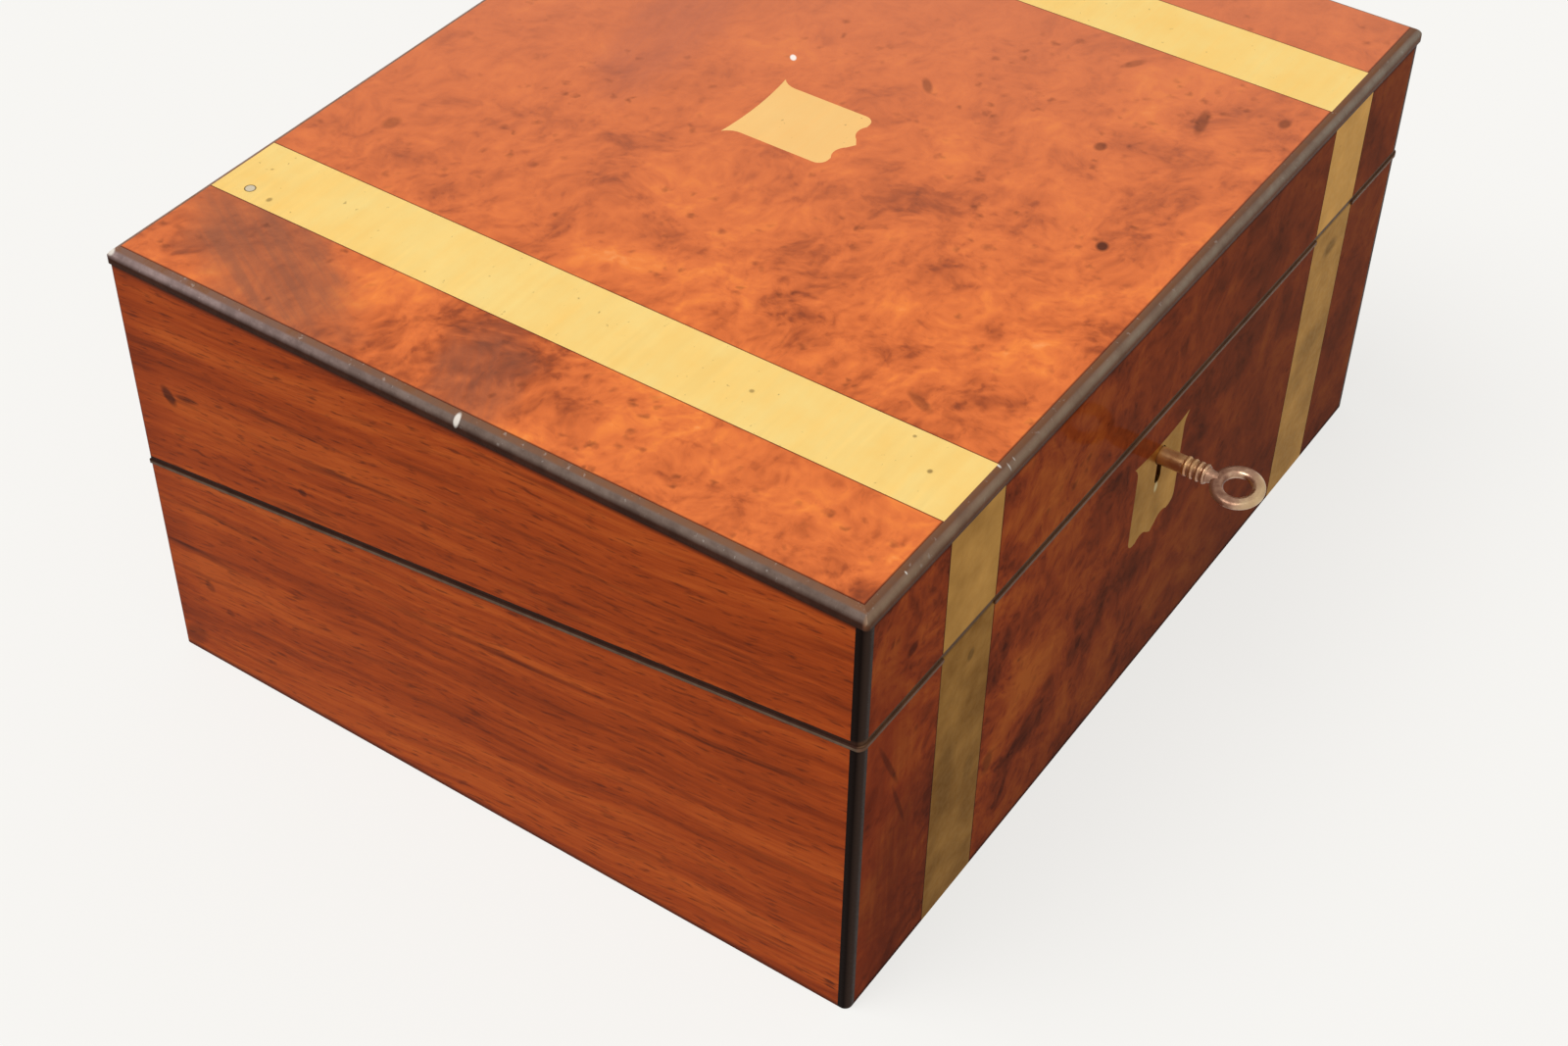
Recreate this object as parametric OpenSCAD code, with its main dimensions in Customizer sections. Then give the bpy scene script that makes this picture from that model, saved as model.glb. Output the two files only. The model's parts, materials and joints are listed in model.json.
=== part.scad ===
// Writing slope: a veneered box that is split on a slant, so that it opens
// into one long sloping writing surface. All sizes are in millimetres.
// The origin is the middle of the underside. The lock faces -Y and +Z is up.

/* [Box] */
// Outside width of the box, left to right
box_w = 312; // [300:1:360]
// Outside depth of the box, front to back
box_d = 244; // [236:1:280]
// Height of the box with its lid shut
box_h = 150; // [146:1:170]
// Height of the slanting split at the front
split_front = 105; // [102:1:108]
// Height of the slanting split at the back
split_back = 75; // [71:1:79]

/* [Boards] */
// Thickness of the carcass walls under their veneer
board_t = 9; // [9:0.1:11]
// Thickness of the veneer, and of the brass let into it
veneer_t = 1; // [0.9:0.1:1.4]
// Thickness of the board that closes the base
bottom_t = 6; // [4:0.5:9]
// Thickness of the board under the veneer of the top
top_t = 8; // [6:0.5:9]

/* [Edging] */
// Width of the round moulding along the edges of the top
moulding_w = 2.7; // [2:0.1:3]
// Height of that moulding on the sides
moulding_h = 4.8; // [4.4:0.1:6]
// Radius of the moulding's round nose
moulding_r = 4; // [3.6:0.1:4.4]
// How far the moulding stands out from the sides
moulding_proud = 0.4; // [0.1:0.1:0.6]
// Size of the square edging strips on the upright front corners
corner_strip = 3.2; // [2.4:0.1:4]
// Rounding of those strips
front_corner_r = 2.2; // [1:0.1:2.4]
// Rounding of the upright back corners
back_corner_r = 1.3; // [1:0.1:2.8]
// Width of the edging around the rim of the base and of the lid
rim_edge_w = 2; // [1.2:0.1:2]
// Height of the edging on the rim of the base
bead_h = 1.6; // [1.2:0.1:2.4]
// How far the edging of the base stands out
bead_proud = 0.5; // [0.1:0.1:0.8]
// Rounding of the edging of the base
bead_r = 0.6; // [0.2:0.1:0.6]
// Height of the stringing on the rim of the lid
stringing_h = 1.2; // [0.8:0.1:2]

/* [Brass inlay] */
// Width of the straps
strap_w = 25.4; // [18:0.2:32]
// Distance between the middles of the two straps
strap_pitch = 215.4; // [190:0.2:230]
// How far straps, shields and lock sit to the right of the middle
fittings_x = 2; // [-3:0.5:3]
// Width of the shields between their horns
shield_w = 28; // [24:0.5:32]
// Height of the shields from the horns to the middle point
shield_h = 35.5; // [31:0.5:38]
// How far behind the middle of the top the shield on the lid sits
cartouche_y = 2; // [-20:1:20]
// How far below the split the middle of the shield on the front lies
escutcheon_drop = 30.5; // [28:0.5:31]

/* [Lock and key] */
// Width of the lock case
lock_w = 68; // [68:1:76]
// Height of the lock case below the rim
lock_h = 39; // [36:1:44]
// Thickness of the plates of the lock case
lock_plate = 1.2; // [1:0.1:1.3]
// How far the key's axis lies below the split at the front
key_drop = 18.5; // [18:0.1:19]
// Radius of the key's shank at the plate
shank_r = 2.7; // [2.2:0.1:3]
// Reach of the key's bit from its axis
bit_reach = 9.2; // [8.4:0.1:9.4]
// Thickness of the bit
bit_t = 2.2; // [1.6:0.1:2.6]
// Distance of the middle of the bow from the front
bow_out = 24.3; // [22:0.1:30]
// Radius of the bow at the middle of its wire
bow_r = 6; // [5:0.1:8]
// Width of the ring that forms the bow
bow_w = 3.9; // [3:0.1:4.4]
// Thickness of that ring
bow_t = 2.6; // [2:0.1:3]
// How far the bow is turned against the bit, in degrees
bow_turn = 8; // [0:1:12]
// Travel of the bolt each way from its middle place
bolt_travel = 4; // [3.5:0.1:4]

/* [Hinges] */
// Length of each lid hinge
hinge_len = 50; // [40:1:60]
// Distance of each lid hinge from the middle
hinge_x = 95; // [80:1:100]
// Radius of the knuckles of the lid hinges
hinge_r = 2.6; // [2.3:0.1:3]
// Radius of the pins of the lid hinges
hinge_pin_r = 1.2; // [0.9:0.1:1.4]
// Thickness of the leaves of the lid hinges
hinge_leaf_t = 1.4; // [1:0.1:1.6]
// Length of each flap hinge
flap_hinge_len = 24; // [18:1:34]
// Distance of each flap hinge from the middle
flap_hinge_x = 92; // [70:1:105]
// Radius of the knuckles of the flap hinges
flap_hinge_r = 1.5; // [1.2:0.1:1.7]
// Radius of the pins of the flap hinges
flap_pin_r = 0.7; // [0.5:0.05:0.8]

/* [Writing flaps] */
// Thickness of the writing flaps
flap_t = 6; // [5:0.5:8]
// Depth of the flaps' faces inside the rim
flap_drop = 2; // [2:0.1:3]
// Thickness of the leather on the flaps
leather_t = 0.8; // [0.5:0.1:1.2]
// Width of the bare wood border around the leather
leather_border = 10; // [10:0.5:20]
// Width of the rail that carries each flap's hinges
rail_w = 12; // [11:0.5:18]
// Width of the rail under the catch at the far end of the lid
catch_rail_w = 14; // [13:0.5:18]
// Size of the ledges under the sides of the flaps
ledge_w = 6; // [4:0.5:8]
// Radius of the finger notch in the front flap
notch_r = 8; // [6:0.5:9.5]

/* [Pens and ink] */
// Width of the space for pens and ink, front to back
pen_space = 50; // [46:1:56]
// Thickness of the partition behind the pens
partition_t = 5; // [4:0.5:7]
// Width of each inkwell space
well_w = 46; // [44:1:52]
// Thickness of the partitions beside the inkwells
well_wall = 4; // [3:0.5:5]
// Height of the raised floor under pens and ink
raised_z = 40; // [34:1:42]
// Thickness of the raised floor
raised_t = 4; // [3:0.5:6]
// Height of the underside of the pen tray
tray_z = 82; // [80:1:83]
// Radius of the trough of the pen tray
trough_r = 15.5; // [13:0.5:17]
// Depth of the trough
trough_depth = 10.5; // [8:0.5:11]
// Width of each square ink bottle
bottle_w = 36; // [30:1:40]
// Height of the square part of the bottle
bottle_h = 34; // [28:1:36]
// Radius of the bottle's neck
neck_r = 9; // [8:0.5:10]

/* [Hidden] */
$fn = 48;

// Colours
burr = "#B5562C";
side_wood = "#8E4322";
carcass = "#7A4426";
ebony = "#1E1814";
brass = "#C9A45A";
brass_front = "#A68A4C";
iron = "#8A6A58";
leather = "#3E4A2C";
glass = "#C9D6D2";
inner_wood = "#8C5A34";

// The slanting split. Heights on it fall towards the back.
slope = atan((split_front - split_back) / box_d);
// Length of the split measured along the slant
rim_len = box_d / cos(slope);
// Outer faces of the carcass boards, and the inner faces of the walls
carcass_x = box_w / 2 - veneer_t;
carcass_y = box_d / 2 - veneer_t;
inner_x = carcass_x - board_t;
inner_y = carcass_y - board_t;
// Underside of the top board, which is the ceiling inside the lid
ceiling_z = box_h - veneer_t - top_t;
// Bigger than the box, for cuts that pass right through
far = 2 * box_w;

// Hinge axis of the lid: behind and above the back end of the split, so that
// the moulding clears the base and the lid's top stays off the table
hinge_back = 0.5;
hinge_lift = 0.2;
hinge_y = box_d / 2 + hinge_back;
hinge_z = split_back + hinge_lift;
// Height of the plane of the split in the frame of the hinge axis
split_at_hinge = -(hinge_back * sin(slope) + hinge_lift * cos(slope));
// Reach of the leaves onto the rim
leaf_reach = board_t;

// Clearances
knuckle_gap = 0.3;
pin_fit = 0.05;
pipe_fit = 0.08;
hole_fit = 0.3;
leaf_bed = 0.03;
slot_fit = 0.6;
flap_gap = 0.6;
tray_gap = 0.5;

// Knuckles on each hinge: three on one leaf and two on the other
knuckles = 5;
knuckle_split = 0.1;

// Heights of the key's axis and of the shield around it
key_z = split_front - key_drop;
escutcheon_z = split_front - escutcheon_drop;
// Lock, from its front towards the back. Its top plate clears the rim edging.
front_y = -box_d / 2;
least_wood = 0.4;
case_front = front_y + max(rim_edge_w, veneer_t + least_wood);
case_low = split_front - lock_h;
hollow_front = case_front + lock_plate;
hollow_back = -inner_y - lock_plate;
selvedge_t = 1.6;
// Key: its pipe turns on the lock's drill pin
pipe_depth = 7.5;
pipe_r = 1.18;
drill_r = pipe_r - pipe_fit;
key_tip = hollow_back - hole_fit;
bit_front = case_front + 2.2;
neck_out = 15;
neck_tip_r = 1.6;
neck_start_r = 2.3;
collars_out = [8.4, 10.4, 12.4, 14.2];
collar_ring_r = 0.8;
collar_proud = 0.35;
bit_back = key_tip - hole_fit;
ward_w = 0.9;
ward_deep = 3;
keyhole_deep = bit_reach + 1.2;
// Bolt, with the talon notch in which the bit turns
bolt_t = 1.8;
bolt_front = case_front + 2.6;
bolt_low = key_z + 4.5;
bolt_h = 10;
bolt_half = 28.5;
// Rests inside the case that carry the bolt, clear of the bit
rest_from = 14;
rest_h = 2;
// Room above the bolt, and under the staples
bolt_room = 0.8;
talon_left = -11;
talon_right = -1.5;
talon_high = key_z + bit_reach + 0.5;
// Staples that hang from the link plate into the lock
staple_x = 20;
staple_t = 2.4;
staple_deep = 10;
staple_front = case_front + 1.5;
staple_back = hollow_back - 1;
staple_tip_back = hollow_back - 1.6;
link_t = 1.4;
// Fingers of the bolt, and the eyes of the staples that they enter
finger_low = bolt_low + 6.4;
finger_h = 2.4;
finger_len = 5.5;
finger_gap = 0.4;
eye_gap = 0.3;

// Moulding: the field inside it, and its bottom edge
field_x = box_w / 2 - moulding_w;
field_y = box_d / 2 - moulding_w;
moulding_corner_r = 1.2;
moulding_full = moulding_w + moulding_proud;
moulding_z = box_h - moulding_h;

// Shield outline
shield_corner_r = 3.2;
horn_h = 5.2;
horn_hollow_r = 6.6;
point_h = 2.4;
point_w = 5.4;
bite_x = 6.4;
bite_r = 5;
bite_deep = 1;
dish_r = 113;
dish_deep = 1.2;

// Pens and ink
section_drop = 3;
part_y = -inner_y + pen_space;
well_mid_x = inner_x - well_w / 2;
well_mid_y = -inner_y + pen_space / 2;
tray_x = inner_x - well_w - well_wall;
bearer = 6;
tray_end = 8;
trough_z = rim(well_mid_y) - section_drop / cos(slope) - trough_depth + trough_r;
trough_half = sqrt(trough_r * trough_r - (trough_r - trough_depth) * (trough_r - trough_depth));
trough_x = tray_x - tray_gap - tray_end - trough_half;
bottle_z = raised_z + raised_t;
bottle_corner_r = 4;
shoulder_z = bottle_z + bottle_h;
neck_h = 8;
collar_h = 6;
collar_r = neck_r + 2;
cap_wall = 1.7;
cap_r = collar_r + hole_fit + cap_wall;
cap_h = 12.5;
cap_low = 1.5;
cap_dome_r = 20;
shoulder_t = 4;
well_r = bottle_w / 3;
bore_r = neck_r - 2.5;
bottle_floor = 8;

// Writing flaps. Distances along the slant run forwards from the back face.
wall_on_rim = (board_t + veneer_t) / cos(slope);
rail_edge = wall_on_rim + rail_w;
flap_axis = rail_edge + flap_gap / 2;
flap_start = rail_edge + flap_gap;
flap_low = flap_drop + flap_t;
flap_x = inner_x - flap_gap;
base_flap_end = (box_d / 2 - part_y) / cos(slope) - flap_low * tan(slope);
lid_flap_end = rim_len - wall_on_rim - catch_rail_w - flap_gap;
flap_leaf_t = 1;
flap_leaf_reach = 9;
// Catch that holds the lid's flap
catch_axis = rim_len - wall_on_rim - catch_rail_w / 2;
catch_len = 15;
catch_w = 6;
catch_t = 1.2;
catch_gap = 0.15;
catch_boss_r = 2.5;
catch_pin_r = 1;
catch_pin_len = 4;
catch_head_r = 1.6;
catch_head_t = 0.5;
catch_end_r = catch_w / 2 - 0.01;

// Height of the split at a place y behind the middle
function rim(y) = split_back + (box_d / 2 - y) * tan(slope);

// The frame of the split: y runs back along the slant and is 0 at the back
// face of the box, and z is square to the slant.
module on_rim() {
  translate([0, box_d / 2, split_back]) rotate([-slope, 0, 0]) children();
}

// The same frame for a flap: z points out of the opening, so the flap's face
// is at -flap_drop in the base (lid = 0) and in the lid (lid = 1) alike
module flap_frame(lid) {
  on_rim() mirror([0, 0, lid]) children();
}

// The frame of the lid hinges, on their axis and turned with the slant
module at_hinge_axis() {
  translate([0, hinge_y, hinge_z]) rotate([-slope, 0, 0]) children();
}

// A box from its lowest to its highest corner
module block(low, high) {
  translate(low) cube(high - low);
}

// All that lies above or below the split, moved square to it
module above_split(shift = 0) {
  on_rim() block([-far, -far, shift], [far, far, far]);
}
module below_split(shift = 0) {
  on_rim() block([-far, -far, -far], [far, far, shift]);
}

// A flat shape drawn in y and z, run along x
module along_x(from, to) {
  translate([from, 0, 0]) rotate([90, 0, 90]) linear_extrude(to - from) children();
}

// A flat shape drawn in x and z, run back from one y to another
module along_y(from, to) {
  translate([0, to, 0]) rotate([90, 0, 0]) linear_extrude(to - from) children();
}

// What is cut off a square corner at the origin to round it
module corner_cut(r) {
  difference() {
    translate([-1, -1]) square(r + 1);
    translate([r, r]) circle(r);
  }
}

// A rectangle, centred, with its four corners rounded
module round_rect(size, r) {
  difference() {
    square(size, center = true);
    for (a = [0, 1], b = [0, 1])
      mirror([a, 0]) mirror([0, b]) translate(-size / 2) corner_cut(r);
  }
}

// The box in plan, its corners rounded
module outline(grow = 0) {
  difference() {
    square([box_w + 2 * grow, box_d + 2 * grow], center = true);
    for (side = [0, 1]) mirror([side, 0]) {
      translate([-box_w / 2 - grow, -box_d / 2 - grow]) corner_cut(front_corner_r + grow);
      translate([-box_w / 2 - grow, box_d / 2 + grow]) mirror([0, 1]) corner_cut(back_corner_r + grow);
    }
  }
}

// The solid space of the whole box
module box_space() {
  linear_extrude(box_h) outline();
}

// Space outside the rim edging's inner line
module rim_band() {
  difference() {
    block([-far, -far, -1], [far, far, far]);
    block([rim_edge_w - box_w / 2, rim_edge_w - box_d / 2, -2],
          [box_w / 2 - rim_edge_w, box_d / 2 - rim_edge_w, 2 * far]);
  }
}
module base_rim_cut() {
  intersection() { rim_band(); above_split(-bead_h); }
}
module lid_rim_cut() {
  intersection() { rim_band(); below_split(stringing_h); }
}

// Space of the two corner strips at the front
module corner_space() {
  for (side = [0, 1]) mirror([side, 0, 0])
    block([-box_w / 2 - 1, front_y - 1, -1], [corner_strip - box_w / 2, front_y + corner_strip, far]);
}

// The field of the top inside the moulding, and the moulding's own space
module top_field() {
  square([2 * field_x, 2 * field_y], center = true);
}
module moulding_space() {
  translate([0, 0, moulding_z]) linear_extrude(moulding_h + 1) difference() {
    square([box_w + 4, box_d + 4], center = true);
    top_field();
  }
}

// Strap: its left edge, for the strap on one side or the other
function strap_left(side) = fittings_x + side * strap_pitch / 2 - strap_w / 2;
module front_strap_space() {
  for (side = [-1, 1])
    block([strap_left(side), front_y - 2, -1], [strap_left(side) + strap_w, -carcass_y, far]);
}

// Shield with two horns, a dished top edge and a point between two bites
module shield() {
  half = shield_w / 2;
  top = shield_h / 2;
  low = point_h - shield_h / 2;
  difference() {
    union() {
      translate([-half, low + shield_corner_r]) square([shield_w, top - low - shield_corner_r]);
      translate([shield_corner_r - half, low]) square([shield_w - 2 * shield_corner_r, 2 * shield_corner_r]);
      for (side = [0, 1]) mirror([side, 0]) {
        translate([half - shield_corner_r, low + shield_corner_r]) circle(shield_corner_r);
        translate([half - 1, top - horn_h]) square([horn_h / 2 + 1, horn_h]);
      }
      polygon([[-point_w, low + 1], [0, -top], [point_w, low + 1]]);
    }
    for (side = [0, 1]) mirror([side, 0]) {
      translate([half + horn_hollow_r, top - horn_h]) circle(horn_hollow_r);
      translate([bite_x, low + bite_deep - bite_r]) circle(bite_r);
    }
    translate([0, top - dish_deep + dish_r]) circle(dish_r, $fn = 360);
  }
}

// Keyhole: a round hole for the shank over a slot for the bit
module keyhole(grow = 0) {
  slot_half = bit_t / 2 + slot_fit + grow;
  translate([fittings_x, key_z]) {
    circle(shank_r + hole_fit + grow);
    translate([-slot_half, slot_half - keyhole_deep]) square([2 * slot_half, keyhole_deep - slot_half]);
    translate([0, slot_half - keyhole_deep]) circle(slot_half);
  }
}

// Butt hinge. The pin's axis is the x axis, and the leaf lies on the -y side
// between two heights. Its knuckles are every second one, counted from first.
module hinge_leaf(len, r, pin_r, reach, low, high, first, pinned = false) {
  step = len / knuckles;
  run = step - knuckle_split;
  difference() {
    union() {
      block([-len / 2, -reach, low], [len / 2, -r - knuckle_gap, high]);
      for (i = [first : 2 : knuckles - 1]) translate([i * step + knuckle_split / 2 - len / 2, 0, 0]) {
        rotate([0, 90, 0]) cylinder(r = r, h = run);
        block([0, -r - knuckle_gap, low], [run, 0, high]);
      }
    }
    if (!pinned) rotate([0, 90, 0]) cylinder(r = pin_r + pin_fit, h = 2 * len, center = true);
  }
  if (pinned) hinge_pin(len, pin_r);
}

module hinge_pin(len, pin_r) {
  translate([-len / 2, 0, 0]) rotate([0, 90, 0]) cylinder(r = pin_r, h = len);
}

// What is let into the wood for a hinge
module hinge_pocket(len, r, reach, low, high) {
  translate([-len / 2, 0, 0]) rotate([0, 90, 0]) cylinder(r = r + knuckle_gap, h = len);
  block([-len / 2, -reach - leaf_bed, low - leaf_bed], [len / 2, 0, high + leaf_bed]);
}

module lid_hinge_pockets() {
  at_hinge_axis() for (x = [-hinge_x, hinge_x]) translate([x, 0, 0])
    hinge_pocket(hinge_len, hinge_r, leaf_reach, split_at_hinge - hinge_leaf_t, split_at_hinge + hinge_leaf_t);
}

// Both flap hinges of the base or the lid are set at these places
module at_flap_hinges(lid) {
  flap_frame(lid) for (x = [-flap_hinge_x, flap_hinge_x])
    translate([x, -flap_axis, -flap_drop]) children();
}

module flap_hinge_pockets(lid) {
  at_flap_hinges(lid) for (side = [0, 1]) mirror([0, side, 0])
    hinge_pocket(flap_hinge_len, flap_hinge_r, flap_leaf_reach, -flap_leaf_t, 0);
}

// Lock case as a solid block, which is also its mortise in the front board
module lock_block() {
  intersection() {
    block([fittings_x - lock_w / 2, case_front, case_low], [fittings_x + lock_w / 2, -inner_y, box_h]);
    below_split();
  }
}

// Link plate of the lock without its staples
module link_plate_block() {
  intersection() {
    block([fittings_x - lock_w / 2, case_front, case_low], [fittings_x + lock_w / 2, -inner_y, box_h]);
    above_split();
    below_split(link_t);
  }
}

// Carcass of the base
module base_front_board() {
  color(carcass) difference() {
    intersection() {
      block([-carcass_x, -carcass_y, 0], [carcass_x, -inner_y, box_h]);
      below_split();
    }
    base_rim_cut();
    corner_space();
    lock_block();
    along_y(front_y, case_front + 1) keyhole(hole_fit);
  }
}

module base_back_board() {
  color(carcass) difference() {
    intersection() {
      block([-carcass_x, inner_y, 0], [carcass_x, carcass_y, box_h]);
      below_split();
    }
    base_rim_cut();
    lid_hinge_pockets();
  }
}

module base_side_board() {
  color(carcass) difference() {
    intersection() {
      block([-carcass_x, -inner_y, 0], [-inner_x, inner_y, box_h]);
      below_split();
    }
    base_rim_cut();
  }
}

module base_left_board() { base_side_board(); }
module base_right_board() { mirror([1, 0, 0]) base_side_board(); }

module base_bottom_board() {
  color(carcass) block([-inner_x, -inner_y, 0], [inner_x, inner_y, bottom_t]);
}

// Veneers of the base
module base_front_veneer() {
  color(burr) difference() {
    intersection() {
      block([corner_strip - box_w / 2, front_y, 0], [box_w / 2 - corner_strip, -carcass_y, box_h]);
      below_split(-bead_h);
    }
    front_strap_space();
    along_y(front_y - 1, 0) translate([fittings_x, escutcheon_z]) shield();
  }
}

module base_side_veneer() {
  color(side_wood) intersection() {
    block([-box_w / 2, front_y + corner_strip, 0], [-carcass_x, box_d / 2, box_h]);
    below_split(-bead_h);
    box_space();
  }
}

module base_left_veneer() { base_side_veneer(); }
module base_right_veneer() { mirror([1, 0, 0]) base_side_veneer(); }

module base_back_veneer() {
  color(side_wood) difference() {
    intersection() {
      block([-carcass_x, carcass_y, 0], [carcass_x, box_d / 2, box_h]);
      below_split(-bead_h);
      box_space();
    }
    lid_hinge_pockets();
  }
}

// Ebony edging of the base
module base_corner_edging() {
  color(ebony) intersection() {
    box_space();
    corner_space();
    below_split(-bead_h);
  }
}

module base_rim_bead() {
  color(ebony) difference() {
    intersection() {
      linear_extrude(box_h) difference() {
        outline(bead_proud);
        square([box_w - 2 * rim_edge_w, box_d - 2 * rim_edge_w], center = true);
      }
      on_rim() along_y(-far, far) translate([0, -bead_h / 2])
        round_rect([box_w + 2 * bead_proud, bead_h], bead_r);
      on_rim() along_x(-far, far) translate([-rim_len / 2 - bead_proud / 2, -bead_h / 2])
        round_rect([rim_len + bead_proud, bead_h], bead_r);
    }
    front_strap_space();
    lid_hinge_pockets();
  }
}

// Brass on the front of the base
module base_front_straps() {
  color(brass_front) for (side = [-1, 1]) intersection() {
    block([strap_left(side), front_y, 0], [strap_left(side) + strap_w, -carcass_y, box_h]);
    below_split();
  }
}

module escutcheon() {
  color(brass_front) along_y(front_y, -carcass_y) difference() {
    translate([fittings_x, escutcheon_z]) shield();
    keyhole();
  }
}

// Lock: case, drill pin, bolt and the link plate in the lid
module lock_case() {
  color(brass) difference() {
    lock_block();
    intersection() {
      block([fittings_x - lock_w / 2 + lock_plate, hollow_front, case_low + lock_plate],
            [fittings_x + lock_w / 2 - lock_plate, hollow_back, box_h]);
      below_split(-selvedge_t);
    }
    along_y(case_front - 1, hollow_front + 1) keyhole();
    for (x = [-staple_x, staple_x])
      block([fittings_x + x - staple_t / 2 - finger_gap, hollow_front, bolt_low + bolt_h + bolt_room / 2],
            [fittings_x + x + staple_t / 2 + finger_gap, hollow_back, box_h]);
  }
  color(brass) translate([fittings_x, hollow_back + lock_plate / 2, key_z]) rotate([90, 0, 0])
    cylinder(r = drill_r, h = hollow_back + lock_plate / 2 - hollow_front - hole_fit);
  color(brass) for (side = [0, 1]) translate([fittings_x, 0, 0]) mirror([side, 0, 0])
    block([rest_from, bolt_front, bolt_low - rest_h], [lock_w / 2 - lock_plate, hollow_back, bolt_low]);
}

module lock_bolt() {
  bolt_back = bolt_front + bolt_t;
  color(brass) translate([fittings_x, 0, 0]) difference() {
    block([-bolt_half, bolt_front, bolt_low], [bolt_half, bolt_back, bolt_low + bolt_h]);
    block([talon_left, bolt_front - 1, bolt_low - 1], [talon_right, bolt_back + 1, talon_high]);
    for (x = [-staple_x, staple_x]) difference() {
      block([x - staple_t / 2 - finger_gap - finger_len, bolt_front - 1, split_front - staple_deep - bolt_room],
            [x + staple_t / 2 + finger_gap + bolt_travel, bolt_back + 1, bolt_low + bolt_h + 1]);
      block([x - staple_t - finger_len - 1, bolt_front - 2, finger_low],
            [x - staple_t / 2 - finger_gap, bolt_back + 2, finger_low + finger_h]);
    }
  }
}

module lock_link_plate() {
  tip = split_front - staple_deep;
  color(brass) {
    link_plate_block();
    for (x = [-staple_x, staple_x]) translate([fittings_x + x, 0, 0]) difference() {
      intersection() {
        along_x(-staple_t / 2, staple_t / 2) polygon([
          [staple_front, tip], [staple_tip_back, tip], [staple_back, split_front],
          [staple_back, box_h], [staple_front, box_h]
        ]);
        below_split(link_t);
      }
      block([-staple_t, bolt_front - eye_gap, finger_low - eye_gap],
            [staple_t, bolt_front + bolt_t + eye_gap, finger_low + finger_h + eye_gap]);
    }
  }
}

// Pipe key: a bow, a turned shank with collars, and a bit with one ward cut
module key() {
  inside = key_tip - front_y;
  color(iron) difference() {
    translate([fittings_x, 0, key_z]) {
      translate([0, key_tip, 0]) rotate([90, 0, 0]) rotate_extrude() {
        square([shank_r, inside + neck_out]);
        polygon([[0, inside + neck_out], [neck_start_r, inside + neck_out],
                 [neck_tip_r, inside + bow_out - bow_r], [0, inside + bow_out - bow_r]]);
        for (out = collars_out) translate([shank_r + collar_proud - collar_ring_r, inside + out])
          circle(collar_ring_r);
      }
      translate([0, front_y - bow_out, 0]) rotate([0, -bow_turn, 0]) rotate_extrude() {
        for (edge = [-1, 1]) translate([bow_r + edge * (bow_w - bow_t) / 2, 0]) circle(bow_t / 2);
        translate([bow_r, 0]) square([bow_w - bow_t, bow_t], center = true);
      }
      difference() {
        block([-bit_reach, bit_front, -bit_t / 2], [0, bit_back, bit_t / 2]);
        block([-bit_reach - 1, (bit_front + bit_back - ward_w) / 2, -bit_t],
              [ward_deep - bit_reach, (bit_front + bit_back + ward_w) / 2, bit_t]);
      }
    }
    translate([fittings_x, key_tip + 1, key_z]) rotate([90, 0, 0]) cylinder(r = pipe_r, h = pipe_depth + 1);
  }
}

// Lid hinges
module base_hinge_leaves() {
  color(brass) at_hinge_axis() for (x = [-hinge_x, hinge_x]) translate([x, 0, 0])
    hinge_leaf(hinge_len, hinge_r, hinge_pin_r, leaf_reach, split_at_hinge - hinge_leaf_t, split_at_hinge, 0);
}

module lid_hinge_leaves() {
  color(brass) at_hinge_axis() for (x = [-hinge_x, hinge_x]) translate([x, 0, 0])
    hinge_leaf(hinge_len, hinge_r, hinge_pin_r, leaf_reach, split_at_hinge, split_at_hinge + hinge_leaf_t, 1);
}

module hinge_pins() {
  color(brass) at_hinge_axis() for (x = [-hinge_x, hinge_x]) translate([x, 0, 0])
    hinge_pin(hinge_len, hinge_pin_r);
}

// Pen and ink section
module pen_partition() {
  color(inner_wood) intersection() {
    block([-inner_x, part_y, bottom_t], [inner_x, part_y + partition_t, box_h]);
    below_split(-flap_low);
  }
}

module well_partitions() {
  color(inner_wood) for (side = [0, 1]) mirror([side, 0, 0]) intersection() {
    block([tray_x, -inner_y, bottle_z], [tray_x + well_wall, part_y, box_h]);
    below_split(-section_drop);
  }
}

module raised_floor() {
  color(inner_wood) block([-inner_x, -inner_y, raised_z], [inner_x, part_y, bottle_z]);
}

module tray_bearers() {
  color(inner_wood) for (side = [0, 1]) mirror([side, 0, 0])
    block([tray_x - bearer, -inner_y, tray_z - bearer], [tray_x, part_y, tray_z]);
}

module pen_tray() {
  end_x = tray_x - tray_gap;
  color(inner_wood) difference() {
    intersection() {
      block([-end_x, tray_gap - inner_y, tray_z], [end_x, part_y - tray_gap, box_h]);
      below_split(-section_drop);
    }
    translate([0, well_mid_y, trough_z]) rotate([0, 90, 0]) rotate_extrude() intersection() {
      translate([0, -box_w / 2]) square([trough_r, box_w]);
      union() {
        square([2 * trough_r, 2 * trough_x], center = true);
        for (end = [-trough_x, trough_x]) translate([0, end]) circle(trough_r);
      }
    }
  }
}

// Ink bottles, each with a collar on its neck and a cap that screws onto it
module at_well(side) {
  translate([side * well_mid_x, well_mid_y, 0]) children();
}

module ink_bottle(side) {
  floor_z = bottle_z + bottle_floor;
  color(glass) at_well(side) difference() {
    union() {
      translate([0, 0, bottle_z]) linear_extrude(bottle_h) round_rect([bottle_w, bottle_w], bottle_corner_r);
      translate([0, 0, shoulder_z]) cylinder(r = neck_r, h = neck_h);
    }
    translate([0, 0, floor_z]) cylinder(r = well_r, h = shoulder_z - shoulder_t - floor_z);
    translate([0, 0, floor_z]) cylinder(r = bore_r, h = box_h);
  }
}

module ink_bottle_left() { ink_bottle(-1); }
module ink_bottle_right() { ink_bottle(1); }

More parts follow.
